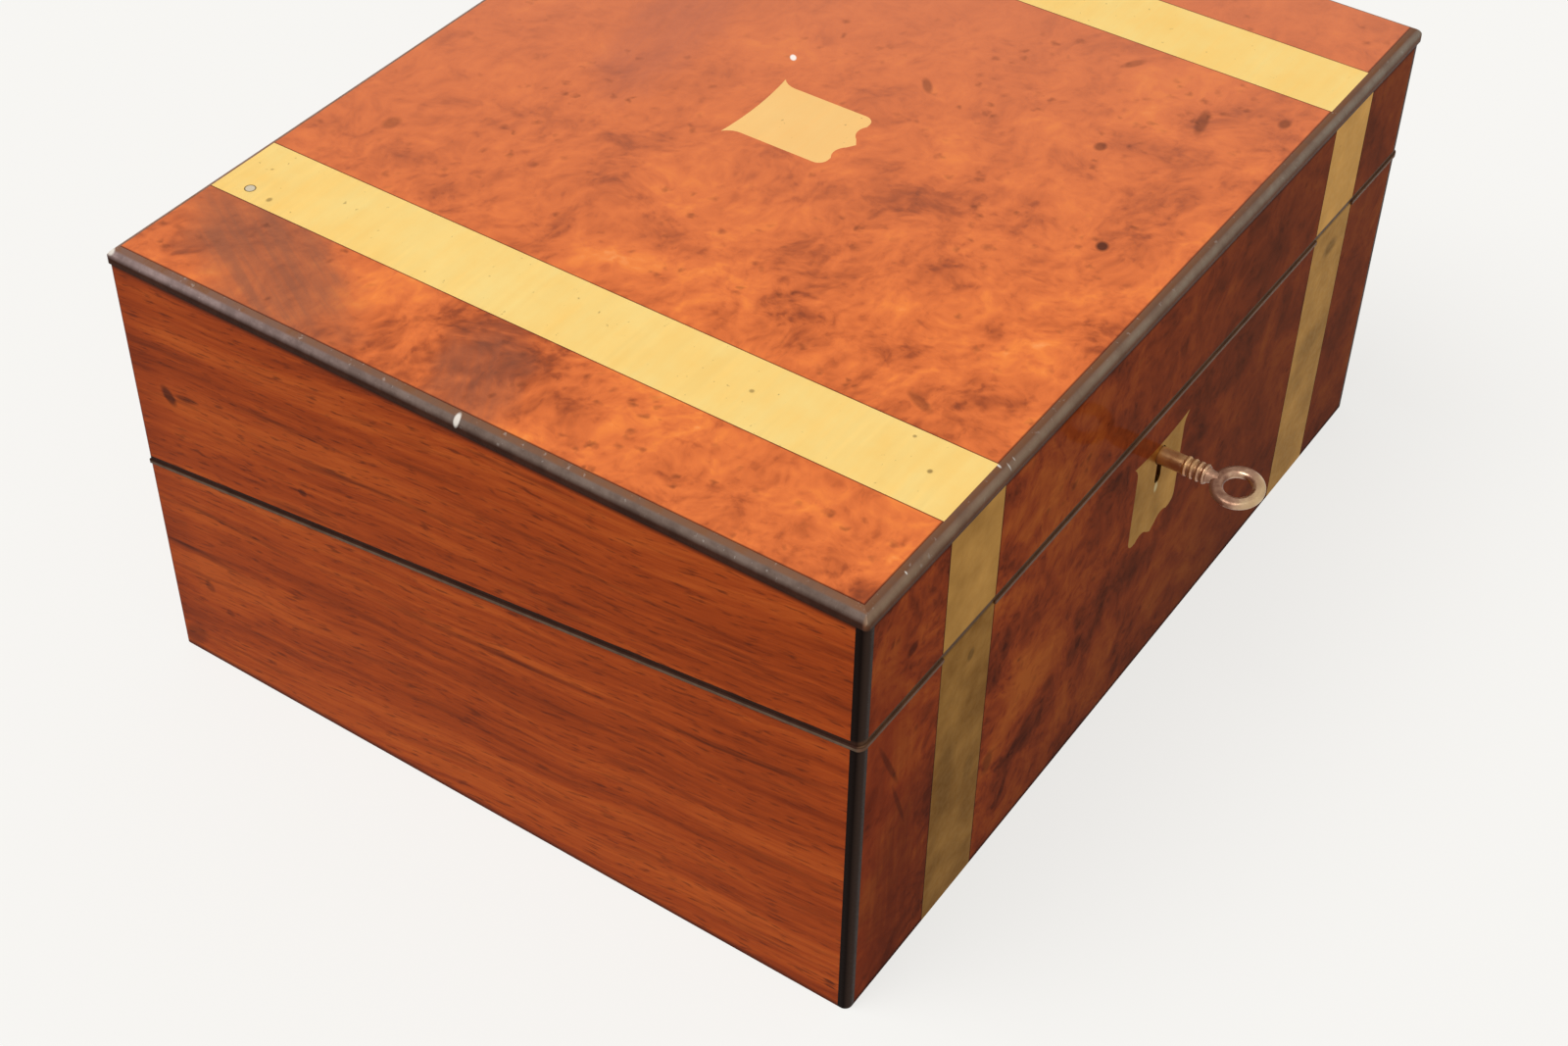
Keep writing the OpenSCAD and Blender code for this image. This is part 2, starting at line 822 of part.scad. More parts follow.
module ink_collars() {
  color(brass) for (side = [-1, 1]) at_well(side) translate([0, 0, shoulder_z]) difference() {
    cylinder(r = collar_r, h = collar_h);
    translate([0, 0, -1]) cylinder(r = neck_r, h = collar_h + 2);
  }
}

module ink_cap(side) {
  color(brass) at_well(side) translate([0, 0, shoulder_z + cap_low]) rotate_extrude() difference() {
    intersection() {
      square([cap_r, cap_h]);
      translate([0, cap_h - cap_dome_r]) circle(cap_dome_r, $fn = 180);
    }
    translate([0, -1]) square([collar_r + hole_fit, neck_h - cap_low + 1]);
  }
}

module ink_cap_left() { ink_cap(-1); }
module ink_cap_right() { ink_cap(1); }

// Ledges, rails and flaps, for the base (lid = 0) and the lid (lid = 1)
module ledges(lid, from_y) {
  color(inner_wood) intersection() {
    block([-inner_x, from_y, 0], [inner_x, inner_y, box_h]);
    flap_frame(lid) for (side = [0, 1]) mirror([side, 0, 0])
      block([-inner_x, -far, -flap_low - ledge_w], [ledge_w - inner_x, far, -flap_low]);
  }
}

module hinge_rail(lid) {
  color(inner_wood) difference() {
    intersection() {
      block([-inner_x, -inner_y, 0], [inner_x, inner_y, box_h]);
      flap_frame(lid) block([-inner_x, -rail_edge, -flap_low], [inner_x, far, -flap_drop]);
    }
    flap_hinge_pockets(lid);
  }
}

module flap_leather_block(lid, end) {
  x = flap_x - leather_border;
  flap_frame(lid)
    block([-x, leather_border - end, -flap_drop - leather_t], [x, -flap_start - leather_border, -flap_drop]);
}

module flap(lid, end) {
  difference() {
    flap_frame(lid) block([-flap_x, -end, -flap_low], [flap_x, -flap_start, -flap_drop]);
    flap_leather_block(lid, end);
    flap_hinge_pockets(lid);
  }
}

// The fixed leaf carries the pin
module flap_hinges_fixed(lid) {
  color(brass) at_flap_hinges(lid) mirror([0, 1, 0])
    hinge_leaf(flap_hinge_len, flap_hinge_r, flap_pin_r, flap_leaf_reach, -flap_leaf_t, 0, 0, pinned = true);
}

module flap_hinges_moving(lid) {
  color(brass) at_flap_hinges(lid)
    hinge_leaf(flap_hinge_len, flap_hinge_r, flap_pin_r, flap_leaf_reach, -flap_leaf_t, 0, 1);
}

module base_flap_ledges() { ledges(0, part_y + partition_t); }
module base_hinge_rail() { hinge_rail(0); }
module base_flap_hinge_fixed() { flap_hinges_fixed(0); }
module base_flap_hinge_moving() { flap_hinges_moving(0); }
module base_flap_leather() {
  color(leather) flap_leather_block(0, base_flap_end);
}

module base_flap() {
  color(inner_wood) difference() {
    flap(0, base_flap_end);
    flap_frame(0) translate([0, -base_flap_end, -far]) cylinder(r = notch_r, h = 2 * far);
  }
}

module lid_flap_ledges() { ledges(1, -inner_y); }
module lid_hinge_rail() { hinge_rail(1); }
module lid_flap_hinge_fixed() { flap_hinges_fixed(1); }
module lid_flap_hinge_moving() { flap_hinges_moving(1); }
module lid_flap_leather() {
  color(leather) flap_leather_block(1, lid_flap_end);
}

module lid_flap() {
  color(inner_wood) flap(1, lid_flap_end);
}

// Rail at the far end of the lid, and the turning catch on it
module at_catch() {
  flap_frame(1) translate([0, -catch_axis, -flap_drop]) children();
}

module lid_catch_rail() {
  color(inner_wood) difference() {
    intersection() {
      block([-inner_x, -inner_y, 0], [inner_x, inner_y, box_h]);
      flap_frame(1) block([-inner_x, -far, -flap_low], [inner_x, -lid_flap_end - flap_gap, -flap_drop]);
    }
    at_catch() translate([0, 0, -catch_pin_len]) cylinder(r = catch_pin_r + pin_fit, h = far);
  }
}

module flap_catch() {
  color(brass) at_catch() {
    translate([0, 0, -catch_pin_len]) cylinder(r = catch_pin_r, h = catch_pin_len + catch_gap);
    cylinder(r = catch_boss_r, h = catch_gap);
    translate([catch_len / 2 - catch_w / 2, 0, catch_gap]) linear_extrude(catch_t)
      round_rect([catch_len, catch_w], catch_end_r);
    translate([0, 0, catch_gap + catch_t]) cylinder(r = catch_head_r, h = catch_head_t);
  }
}

// Carcass of the lid
module lid_front_board() {
  color(carcass) difference() {
    intersection() {
      block([-carcass_x, -carcass_y, 0], [carcass_x, -inner_y, ceiling_z]);
      above_split();
    }
    lid_rim_cut();
    corner_space();
    link_plate_block();
  }
}

module lid_back_board() {
  color(carcass) difference() {
    intersection() {
      block([-carcass_x, inner_y, 0], [carcass_x, carcass_y, ceiling_z]);
      above_split();
    }
    lid_rim_cut();
    lid_hinge_pockets();
  }
}

module lid_side_board() {
  color(carcass) difference() {
    intersection() {
      block([-carcass_x, -inner_y, 0], [-inner_x, inner_y, ceiling_z]);
      above_split();
    }
    lid_rim_cut();
  }
}

module lid_left_board() { lid_side_board(); }
module lid_right_board() { mirror([1, 0, 0]) lid_side_board(); }

module lid_top_board() {
  color(carcass) difference() {
    block([-carcass_x, -carcass_y, ceiling_z], [carcass_x, carcass_y, box_h - veneer_t]);
    moulding_space();
    corner_space();
  }
}

// Veneers of the lid
module lid_top_veneer() {
  color(burr) difference() {
    translate([0, 0, box_h - veneer_t]) linear_extrude(veneer_t) difference() {
      top_field();
      translate([fittings_x, cartouche_y]) shield();
    }
    for (side = [-1, 1])
      block([strap_left(side), -far, 0], [strap_left(side) + strap_w, far, far]);
  }
}

module lid_front_veneer() {
  color(burr) difference() {
    intersection() {
      block([corner_strip - box_w / 2, front_y, 0], [box_w / 2 - corner_strip, -carcass_y, moulding_z]);
      above_split(stringing_h);
    }
    front_strap_space();
  }
}

module lid_side_veneer() {
  color(side_wood) intersection() {
    block([-box_w / 2, front_y + corner_strip, 0], [-carcass_x, box_d / 2, moulding_z]);
    above_split(stringing_h);
    box_space();
  }
}

module lid_left_veneer() { lid_side_veneer(); }
module lid_right_veneer() { mirror([1, 0, 0]) lid_side_veneer(); }

module lid_back_veneer() {
  color(side_wood) difference() {
    intersection() {
      block([-carcass_x, carcass_y, 0], [carcass_x, box_d / 2, moulding_z]);
      above_split(stringing_h);
      box_space();
    }
    lid_hinge_pockets();
  }
}

// Ebony edging of the lid
module moulding_profile() {
  round_x = moulding_full - moulding_r;
  round_z = moulding_h - sqrt(moulding_r * moulding_r - round_x * round_x);
  intersection() {
    square([moulding_full, moulding_h]);
    union() {
      square([moulding_full, max(round_z, 0)]);
      translate([round_x, round_z]) circle(moulding_r, $fn = 96);
    }
  }
}

// One run, mitred at both ends: half is the length of half its inner edge
module moulding_run(half) {
  full = half + moulding_full;
  intersection() {
    translate([-full, 0, 0]) rotate([90, 0, 90]) linear_extrude(2 * full) moulding_profile();
    linear_extrude(moulding_h)
      polygon([[-half, 0], [half, 0], [full, moulding_full], [-full, moulding_full]]);
  }
}

module lid_edge_moulding() {
  out_x = field_x + moulding_full;
  out_y = field_y + moulding_full;
  color(ebony) translate([0, 0, moulding_z]) difference() {
    union() {
      for (side = [0, 1]) mirror([0, side, 0]) translate([0, field_y, 0]) moulding_run(field_x);
      for (side = [0, 1]) mirror([side, 0, 0]) translate([field_x, 0, 0]) rotate([0, 0, -90])
        moulding_run(field_y);
    }
    for (a = [0, 1], b = [0, 1]) mirror([a, 0, 0]) mirror([0, b, 0]) translate([-out_x, -out_y, -1])
      linear_extrude(moulding_h + 2) corner_cut(moulding_corner_r);
  }
}

module lid_corner_edging() {
  color(ebony) intersection() {
    linear_extrude(moulding_z) outline();
    corner_space();
    above_split(stringing_h);
  }
}

module lid_rim_stringing() {
  color(ebony) difference() {
    intersection() {
      box_space();
      rim_band();
      above_split();
      below_split(stringing_h);
    }
    lid_hinge_pockets();
  }
}

// Brass of the lid
module lid_top_straps() {
  color(brass) for (side = [-1, 1])
    block([strap_left(side), -field_y, box_h - veneer_t], [strap_left(side) + strap_w, field_y, box_h]);
}

module lid_front_straps() {
  color(brass_front) for (side = [-1, 1]) intersection() {
    block([strap_left(side), front_y, 0], [strap_left(side) + strap_w, -carcass_y, moulding_z]);
    above_split(stringing_h);
  }
}

module cartouche() {
  color(brass) translate([fittings_x, cartouche_y, box_h - veneer_t]) linear_extrude(veneer_t) shield();
}

base_front_board();
base_back_board();
base_left_board();
base_right_board();
base_bottom_board();
base_front_veneer();
base_left_veneer();
base_right_veneer();
base_back_veneer();
base_corner_edging();
base_rim_bead();
base_front_straps();
escutcheon();
lock_case();
lock_bolt();
key();
base_hinge_leaves();
hinge_pins();
pen_partition();
well_partitions();
raised_floor();
tray_bearers();
pen_tray();
ink_bottle_left();
ink_bottle_right();
ink_collars();
ink_cap_left();
ink_cap_right();
base_flap_ledges();
base_hinge_rail();
base_flap();
base_flap_leather();
base_flap_hinge_fixed();
base_flap_hinge_moving();
lid_front_board();
lid_back_board();
lid_left_board();
lid_right_board();
lid_top_board();
lid_top_veneer();
lid_front_veneer();
lid_left_veneer();
lid_right_veneer();
lid_back_veneer();
lid_edge_moulding();
lid_corner_edging();
lid_rim_stringing();
lid_top_straps();
lid_front_straps();
cartouche();
lock_link_plate();
lid_hinge_leaves();
lid_flap_ledges();
lid_hinge_rail();
lid_catch_rail();
lid_flap();
lid_flap_leather();
lid_flap_hinge_fixed();
lid_flap_hinge_moving();
flap_catch();
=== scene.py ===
# %% [markdown]
# # A writing slope in burr walnut, brass and ebony
#
# The object is a box of about 1860 that is split on a slant. Opened flat, its
# two halves make one long sloping desk. The solids come from the CAD frame, so
# this lesson is about their finish: polished veneer, old brass, ebony, rust,
# leather and glass. It adds only what is too small for the solids.
#
# All lengths in the frame are metres. A pattern is easier to plan in
# millimetres, so each material first turns its coordinates into them.

# %% Load the frame
import bpy
import json
import math
from mathutils import Matrix, Vector


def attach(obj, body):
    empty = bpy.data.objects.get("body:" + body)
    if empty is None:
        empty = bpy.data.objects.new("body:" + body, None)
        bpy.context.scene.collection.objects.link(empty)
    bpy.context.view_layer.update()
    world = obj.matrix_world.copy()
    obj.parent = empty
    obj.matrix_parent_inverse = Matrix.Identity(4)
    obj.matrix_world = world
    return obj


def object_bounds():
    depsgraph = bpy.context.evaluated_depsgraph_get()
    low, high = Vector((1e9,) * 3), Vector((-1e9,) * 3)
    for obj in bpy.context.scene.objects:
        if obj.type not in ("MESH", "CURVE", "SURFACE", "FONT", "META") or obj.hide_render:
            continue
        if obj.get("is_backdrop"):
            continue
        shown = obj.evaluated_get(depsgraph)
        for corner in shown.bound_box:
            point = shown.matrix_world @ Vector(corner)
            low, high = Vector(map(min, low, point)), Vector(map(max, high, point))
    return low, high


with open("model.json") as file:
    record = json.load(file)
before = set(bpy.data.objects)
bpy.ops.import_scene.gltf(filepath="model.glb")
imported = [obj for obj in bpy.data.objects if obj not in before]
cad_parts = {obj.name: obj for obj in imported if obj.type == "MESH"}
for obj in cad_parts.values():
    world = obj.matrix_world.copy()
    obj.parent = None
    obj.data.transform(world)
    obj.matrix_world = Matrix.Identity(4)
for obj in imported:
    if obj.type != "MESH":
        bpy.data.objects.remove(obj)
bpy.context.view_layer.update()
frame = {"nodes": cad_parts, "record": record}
MM = 0.001
nodes = frame["nodes"]

# %% Places on the box, in millimetres
side_x, front_y, back_y, top_z = -156, -122, 122, 150
rim_front_z, rim_back_z = 105, 75
rim_back = (0, back_y, rim_back_z)
slant = math.atan((rim_front_z - rim_back_z) / (back_y - front_y))
strap_edges = (-118.4, -93.0, 97.0, 122.4)
moulding_z = 145.2
well_x, well_y = 123, -87
print("the split slants by", round(math.degrees(slant), 2), "degrees")

# %% [markdown]
# ## Camera
#
# The photograph looks down on the near left corner. Its camera can be found
# from the corners of the box: nine of them, whose places on the real object
# follow from its size, fix where the camera stood and how long its lens was.
# Three directions, right, up and back, make the camera's turning matrix.

# %% Camera
camera_data = bpy.data.cameras.new("photo_camera")
camera = bpy.data.objects.new("photo_camera", camera_data)
bpy.context.scene.collection.objects.link(camera)
bpy.context.scene.camera = camera

azimuth, elevation, roll = (math.radians(v) for v in (-56.50, 42.71, 1.16))
camera_place = Vector((-509.5, -332.3, 558.0)) * MM
back = Vector((math.sin(azimuth) * math.cos(elevation), -math.cos(azimuth) * math.cos(elevation),
               math.sin(elevation)))
level_right = (-back).cross(Vector((0, 0, 1))).normalized()
level_up = level_right.cross(-back)
right = math.cos(roll) * level_right + math.sin(roll) * level_up
up = math.cos(roll) * level_up - math.sin(roll) * level_right
turn = Matrix((right, up, back)).transposed().to_4x4()
camera.matrix_world = Matrix.Translation(camera_place) @ turn
camera_data.sensor_width = 36
camera_data.lens = 57.9
print("camera looks down at", round(math.degrees(elevation), 1), "degrees")

# %% [markdown]
# ## One colour function and one node function
#
# Colours are written as hex values, which are sRGB, the way a screen shows
# them. A shader works in linear light, so each value is turned once. The node
# function adds a node of any kind, sets it up and links it. Inputs go by name,
# or by number where a name repeats: a Mix node has its amount at 0 and its
# colours at 6 and 7, and a MapRange turns the range from 1 to 2 into the range
# from 3 to 4.

# %% Helpers for materials
def colour(hex_value):
    """An sRGB hex colour as linear light."""
    parts = [int(hex_value[i:i + 2], 16) / 255 for i in (1, 3, 5)]
    return (*[c / 12.92 if c <= 0.04045 else ((c + 0.055) / 1.055) ** 2.4 for c in parts], 1)


def plug(tree, node, inputs):
    """Sets inputs to values, or links them. A node stands for the first of its outputs that is in use."""
    for place, value in inputs.items():
        if isinstance(value, bpy.types.Node):
            value = next(output for output in value.outputs if output.enabled)
        if isinstance(value, bpy.types.NodeSocket):
            tree.links.new(value, node.inputs[place])
        else:
            node.inputs[place].default_value = value


def add(tree, kind, inputs=None, stops=None, **settings):
    """Adds a node, sets it up and plugs in its inputs. Stops are a ramp's places and colours."""
    node = tree.nodes.new("ShaderNode" + kind)
    for name, value in settings.items():
        setattr(node, name, value)
    plug(tree, node, inputs or {})
    if stops:
        ramp = node.color_ramp
        while len(ramp.elements) < len(stops):
            ramp.elements.new(0.5)
        for element, (place, tone) in zip(ramp.elements, stops):
            element.position = place
            element.color = colour(tone)
    return node


def millimetres(tree):
    """The place on the object, in millimetres."""
    place = add(tree, "TexCoord")
    return add(tree, "VectorMath", {0: place.outputs["Object"], 1: (1000, 1000, 1000)}, operation="MULTIPLY")


def start_material(name):
    """An empty material with a principled shader, and its coordinates in millimetres."""
    material = bpy.data.materials.new(name)
    material.use_nodes = True
    tree = material.node_tree
    tree.nodes.clear()
    shader = add(tree, "BsdfPrincipled")
    add(tree, "OutputMaterial", {"Surface": shader})
    return material, tree, shader, millimetres(tree)


print("helpers ready")

# %% [markdown]
# ## Floor and light
#
# The picture was cut out and laid on a pale ground, lit evenly from above and
# a little from the left. A broad sun and a dim sky do the same. The ground
# looks white to the camera and in reflections, but sends less light back up
# than a white sheet would, so that the front of the box stays in its shade.

# %% Floor
def seen_rays(tree):
    """1 for what the camera sees, also in reflections and through glass, and 0 for other light."""
    ray = add(tree, "LightPath")
    seen = ray.outputs["Is Camera Ray"]
    for kind in ("Is Glossy Ray", "Is Transmission Ray"):
        seen = add(tree, "Math", {0: seen, 1: ray.outputs[kind]}, operation="MAXIMUM")
    return seen


floor_size, floor_drop = 14, 0.0003
bpy.ops.object.select_all(action="DESELECT")
bpy.ops.mesh.primitive_plane_add(size=floor_size, location=(0, 0, -floor_drop))
floor = bpy.context.object
floor.name = "floor"
bpy.ops.object.transform_apply(location=True, rotation=True, scale=True)
paper_ground = bpy.data.materials.new("seamless_paper_ground")
paper_ground.use_nodes = True
ground_tree = paper_ground.node_tree
ground_tree.nodes.clear()
bounce = add(ground_tree, "BsdfDiffuse", {"Color": colour("#A8A29C")})
shade = add(ground_tree, "BsdfDiffuse", {"Color": colour("#747371")})
pale = add(ground_tree, "Emission", {"Color": colour("#FCFBF8"), "Strength": 0.78})
shown = add(ground_tree, "AddShader", {0: shade, 1: pale})
ground = add(ground_tree, "MixShader", {0: seen_rays(ground_tree), 1: bounce, 2: shown})
add(ground_tree, "OutputMaterial", {"Surface": ground})
floor.data.materials.append(paper_ground)
floor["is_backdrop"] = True
print("floor placed")

# %% Light
world = bpy.data.worlds.new("studio")
bpy.context.scene.world = world
world.use_nodes = True
sky_tree = world.node_tree
sky_tree.nodes.clear()
dim = add(sky_tree, "Background", {"Color": colour("#FFFFFF"), "Strength": 0.42})
pale = add(sky_tree, "Background", {"Color": colour("#F4F3F0"), "Strength": 1.0})
sky = add(sky_tree, "MixShader", {0: seen_rays(sky_tree), 1: dim, 2: pale})
add(sky_tree, "OutputWorld", {"Surface": sky})

sun_data = bpy.data.lights.new("overhead_softbox", "SUN")
sun_data.energy = 2.1
sun_data.angle = math.radians(40)
sun = bpy.data.objects.new("overhead_softbox", sun_data)
bpy.context.scene.collection.objects.link(sun)
sun.rotation_mode = "QUATERNION"
to_the_sun = Vector((-0.42, 0.28, 0.86))
sun.rotation_quaternion = to_the_sun.to_track_quat("Z", "Y")
bpy.context.scene.view_settings.view_transform = "Standard"
print("sun strength", sun_data.energy)

# %% [markdown]
# ## What time does to a surface, and painted light
#
# Polished wood and brass aren't even. Soft ovals lighten or darken whole
# regions; small ones with a fuller middle are knots, stains and dents. Their
# edges wander where their coordinates are pushed about by a noise. A thin dark
# line of old glue and polish lies in each joint.
# Some small ovals are painted highlights instead, and lines of painted shade lie along the bottom edge and
# under the moulding.

# %% Ovals, spots and uneven noise
def blemish(tree, mm, place, reach, turn=(0, 0, 0)):
    """A soft oval: 1 at its place and 0 at its reach along x, y and z, turned by degrees."""
    oval = add(tree, "Mapping", {"Vector": mm, "Location": place, "Scale": reach,
                                 "Rotation": [math.radians(angle) for angle in turn]}, vector_type="TEXTURE")
    return add(tree, "TexGradient", {"Vector": oval}, gradient_type="SPHERICAL").outputs["Fac"]


def spot(tree, mm, place, reach, strength, turn=(0, 0, 0)):
    """A blemish with a full middle: an oval times its strength, cut off at 1."""
    return add(tree, "Math", {0: blemish(tree, mm, place, reach, turn), 1: strength}, operation="MULTIPLY",
               use_clamp=True)


def ragged(tree, mm, size, reach):
    """Coordinates pushed about by up to half the reach, in lumps of the given size."""
    drift = add(tree, "TexNoise", {"Vector": mm, "Scale": 1 / size, "Detail": 2.0})
    centred = add(tree, "VectorMath", {0: drift.outputs["Color"], 1: (0.5, 0.5, 0.5)}, operation="SUBTRACT")
    return add(tree, "VectorMath", {0: centred, 1: (reach,) * 3, 2: mm}, operation="MULTIPLY_ADD")


def patchy(tree, vector, size, detail, span, levels, roughness=0.5):
    """A noise in lumps of a size, whose values over the span are stretched to the two levels."""
    noise = add(tree, "TexNoise", {"Vector": vector, "Scale": 1 / size, "Detail": detail,
                                   "Roughness": roughness})
    return add(tree, "MapRange", {"Value": noise, 1: span[0], 2: span[1], 3: levels[0], 4: levels[1]})


print("blemish, spot, ragged edge and patchy noise ready")

# %% Zones, marks, glue lines and lines of painted shade
def shift_tone(tree, mm, tone, zones):
    """Lightens or darkens a tone in soft zones. A zone is a place, a reach, an amount and maybe a turn."""
    for place, reach, amount, *turn in zones:
        zone = blemish(tree, mm, place, reach, *turn)
        tone = add(tree, "Math", {0: zone, 1: amount, 2: tone}, operation="MULTIPLY_ADD")
    return tone


def add_marks(tree, mm, dark, marks, strength=2.2):
    """Adds spots to a mask of dark places. A mark is a place, a reach, an amount and maybe a turn."""
    for place, reach, amount, *turn in marks:
        mark = spot(tree, mm, place, reach, strength, *turn)
        dark = add(tree, "Math", {0: mark, 1: amount, 2: dark}, operation="MULTIPLY_ADD")
    return dark


def glue_and_shade_lines(tree, mm, dark, lines, most):
    """Adds thin dark lines to a mask that stays under most: glue in the joints, and painted shade along some
    edges. A line is an axis, a place and a half width.
    """
    apart = add(tree, "SeparateXYZ", {"Vector": mm})
    for axis, place, width in lines:
        gap = add(tree, "Math", {0: apart.outputs[axis], 1: place}, operation="SUBTRACT")
        gap = add(tree, "Math", {0: gap}, operation="ABSOLUTE")
        line = add(tree, "MapRange", {"Value": gap, 1: 0.3 * width, 2: width, 3: 0.85, 4: 0.0})
        dark = add(tree, "Math", {0: dark, 1: line}, operation="MAXIMUM")
    return add(tree, "Math", {0: dark, 1: most}, operation="MINIMUM")


print("zones, marks and glue lines ready")

# %% [markdown]
# ## Burr walnut
#
# Burr is cut from a swelling full of tiny buds. Its figure has several sizes:
# clouds of dark and light some 25 mm across, folds of about 7 mm that catch
# the light like pebbles, and fibres finer than a millimetre. Each is a noise,
# and all are read through the same warped coordinates, so that they swirl
# together as the wood does. A fold looks raised when the same noise, read a
# little further on, is subtracted from it: one flank comes out light and the
# other dark.
#
# The finish is shellac, rubbed on in many thin coats: smooth, thin and clear.

# %% Figure of the burr
def burr_figure(tree, mm, weights):
    """The pattern around 0, its folds and its fibres. Weights are for clouds, flanks, fibres and shadows."""
    swirl = ragged(tree, ragged(tree, mm, 36, 22), 9, 3.5)
    further = add(tree, "VectorMath", {0: swirl, 1: (0.9, 1.3, 0.9)}, operation="ADD")
    clouds = add(tree, "TexNoise", {"Vector": swirl, "Scale": 1 / 22, "Detail": 5.0, "Roughness": 0.55})
    folds = add(tree, "TexNoise", {"Vector": swirl, "Scale": 1 / 7.5, "Detail": 2.2, "Roughness": 0.5})
    shifted = add(tree, "TexNoise", {"Vector": further, "Scale": 1 / 7.5, "Detail": 2.2, "Roughness": 0.5})
    flank = add(tree, "Math", {0: folds, 1: shifted}, operation="SUBTRACT")
    fibre = add(tree, "TexNoise", {"Vector": swirl, "Scale": 1 / 1.5, "Detail": 3.0, "Roughness": 0.7})
    small = add(tree, "TexNoise", {"Vector": swirl, "Scale": 1 / 3.2, "Detail": 2.0, "Roughness": 0.5})
    cloud_weight, flank_weight, fibre_weight, shadow_weight = weights
    tone = -0.5 * (cloud_weight + fibre_weight) + 0.2 * shadow_weight
    for pattern, weight in ((clouds, cloud_weight), (flank, flank_weight), (fibre, fibre_weight)):
        tone = add(tree, "Math", {0: pattern, 1: weight, 2: tone}, operation="MULTIPLY_ADD")
    for pattern, depth in ((folds, shadow_weight), (small, 0.8 * shadow_weight)):
        shadow = add(tree, "MapRange", {"Value": pattern, 1: 0.56, 2: 0.66, 3: 0.0, 4: -depth},
                     interpolation_type="SMOOTHSTEP")
        tone = add(tree, "Math", {0: tone, 1: shadow}, operation="ADD")
    return tone, folds, fibre


print("figure ready")

# %% Plain parts and buds of the burr
def lay_plain(tree, mm, loose, wood, plain):
    """Lays straight grain over parts of the burr: (place, reach, turn about z, colour, amount)."""
    for place, reach, turn, tint, amount in plain:
        grain = add(tree, "Mapping", {"Vector": mm, "Scale": (14, 1, 14),
                                      "Rotation": (0, 0, math.radians(turn))}, vector_type="TEXTURE")
        patch = spot(tree, loose, place, reach, 2.2, (0, 0, turn))
        for factor in (patchy(tree, grain, 2, 3.0, (0.35, 0.62), (0.68, 1.0)), amount):
            patch = add(tree, "Math", {0: patch, 1: factor}, operation="MULTIPLY")
        wood = add(tree, "Mix", {0: patch, 6: wood, 7: colour(tint)}, data_type="RGBA")
    return wood


def buds(tree, mm, strength):
    """Small pointed cells, only where a slow noise gathers them."""
    cells = add(tree, "TexVoronoi", {"Vector": ragged(tree, mm, 4, 5), "Scale": 1 / 5.5, "Randomness": 1.0})
    bud = add(tree, "MapRange", {"Value": cells.outputs["Distance"], 1: 0.06, 2: 0.30, 3: 1.0, 4: 0.0})
    gather = patchy(tree, mm, 18, 2.0, (0.44, 0.64), (0.0, 0.5))
    gather = add(tree, "Math", {0: gather, 1: strength}, operation="MULTIPLY")
    return add(tree, "Math", {0: bud, 1: gather}, operation="MULTIPLY")


print("plain parts and buds ready")

# %% Burr walnut, French polished
def burr_walnut(name, stops, weights, calm, far_tint, zones, plain, marks, nicks, lines, gloss):
    """Burr veneer.

    Stops are the wood's colours from dark to light. Calm is a direction, two
    places along it and the figure's strength at each; far tint is a colour and
    its share at the second place. On the top, the calmer figure and the pinker
    tint towards the back right are a painted haze of reflected light. Nicks are
    (place, reach, turn), and gloss is the shader's specular level and its coat.
    """
    material, tree, shader, mm = start_material(name)
    figure, folds, fibre = burr_figure(tree, mm, weights)
    # On the top, the calmer figure and the far tint towards the back right are a painted haze of reflected
    # light
    direction, near, far, strong, weak = calm
    along = add(tree, "VectorMath", {0: mm, 1: direction}, operation="DOT_PRODUCT")
    strength = add(tree, "MapRange", {"Value": along, 1: near, 2: far, 3: strong, 4: weak})
    tone = add(tree, "Math", {0: figure, 1: strength, 2: 0.52}, operation="MULTIPLY_ADD")
    loose = ragged(tree, mm, 9, 14)
    wood = add(tree, "ValToRGB", {"Fac": shift_tone(tree, loose, tone, zones)}, stops=stops)
    tint, amount = far_tint
    far_share = add(tree, "MapRange", {"Value": along, 1: near, 2: far, 3: 0.0, 4: amount})
    wood = add(tree, "Mix", {0: far_share, 6: wood, 7: colour(tint)}, data_type="RGBA")
    wood = lay_plain(tree, mm, loose, wood, plain)
    dark = add_marks(tree, mm, buds(tree, mm, strength), marks)
    dark = glue_and_shade_lines(tree, mm, dark, lines, 0.9)
    wood = add(tree, "Mix", {0: dark, 6: wood, 7: colour("#43190C")}, data_type="RGBA")
    for place, reach, turn in nicks:
        nick = spot(tree, mm, place, reach, 3.0, turn)
        wood = add(tree, "Mix", {0: nick, 6: wood, 7: colour("#FFF2E8")}, data_type="RGBA")
    # The polish is thinner over the coarse fibres
    sheen = add(tree, "MapRange", {"Value": fibre, 1: 0.3, 2: 0.7, 3: 0.22, 4: 0.36})
    relief = add(tree, "Bump", {"Height": folds, "Distance": 0.0003, "Strength": 0.15})
    plug(tree, shader, {"Base Color": wood, "Roughness": sheen, "Normal": relief, "IOR": 1.5,
                        "Specular IOR Level": gloss[0], "Coat Weight": gloss[1], "Coat Roughness": 0.08})
    return material


print("burr recipe ready")

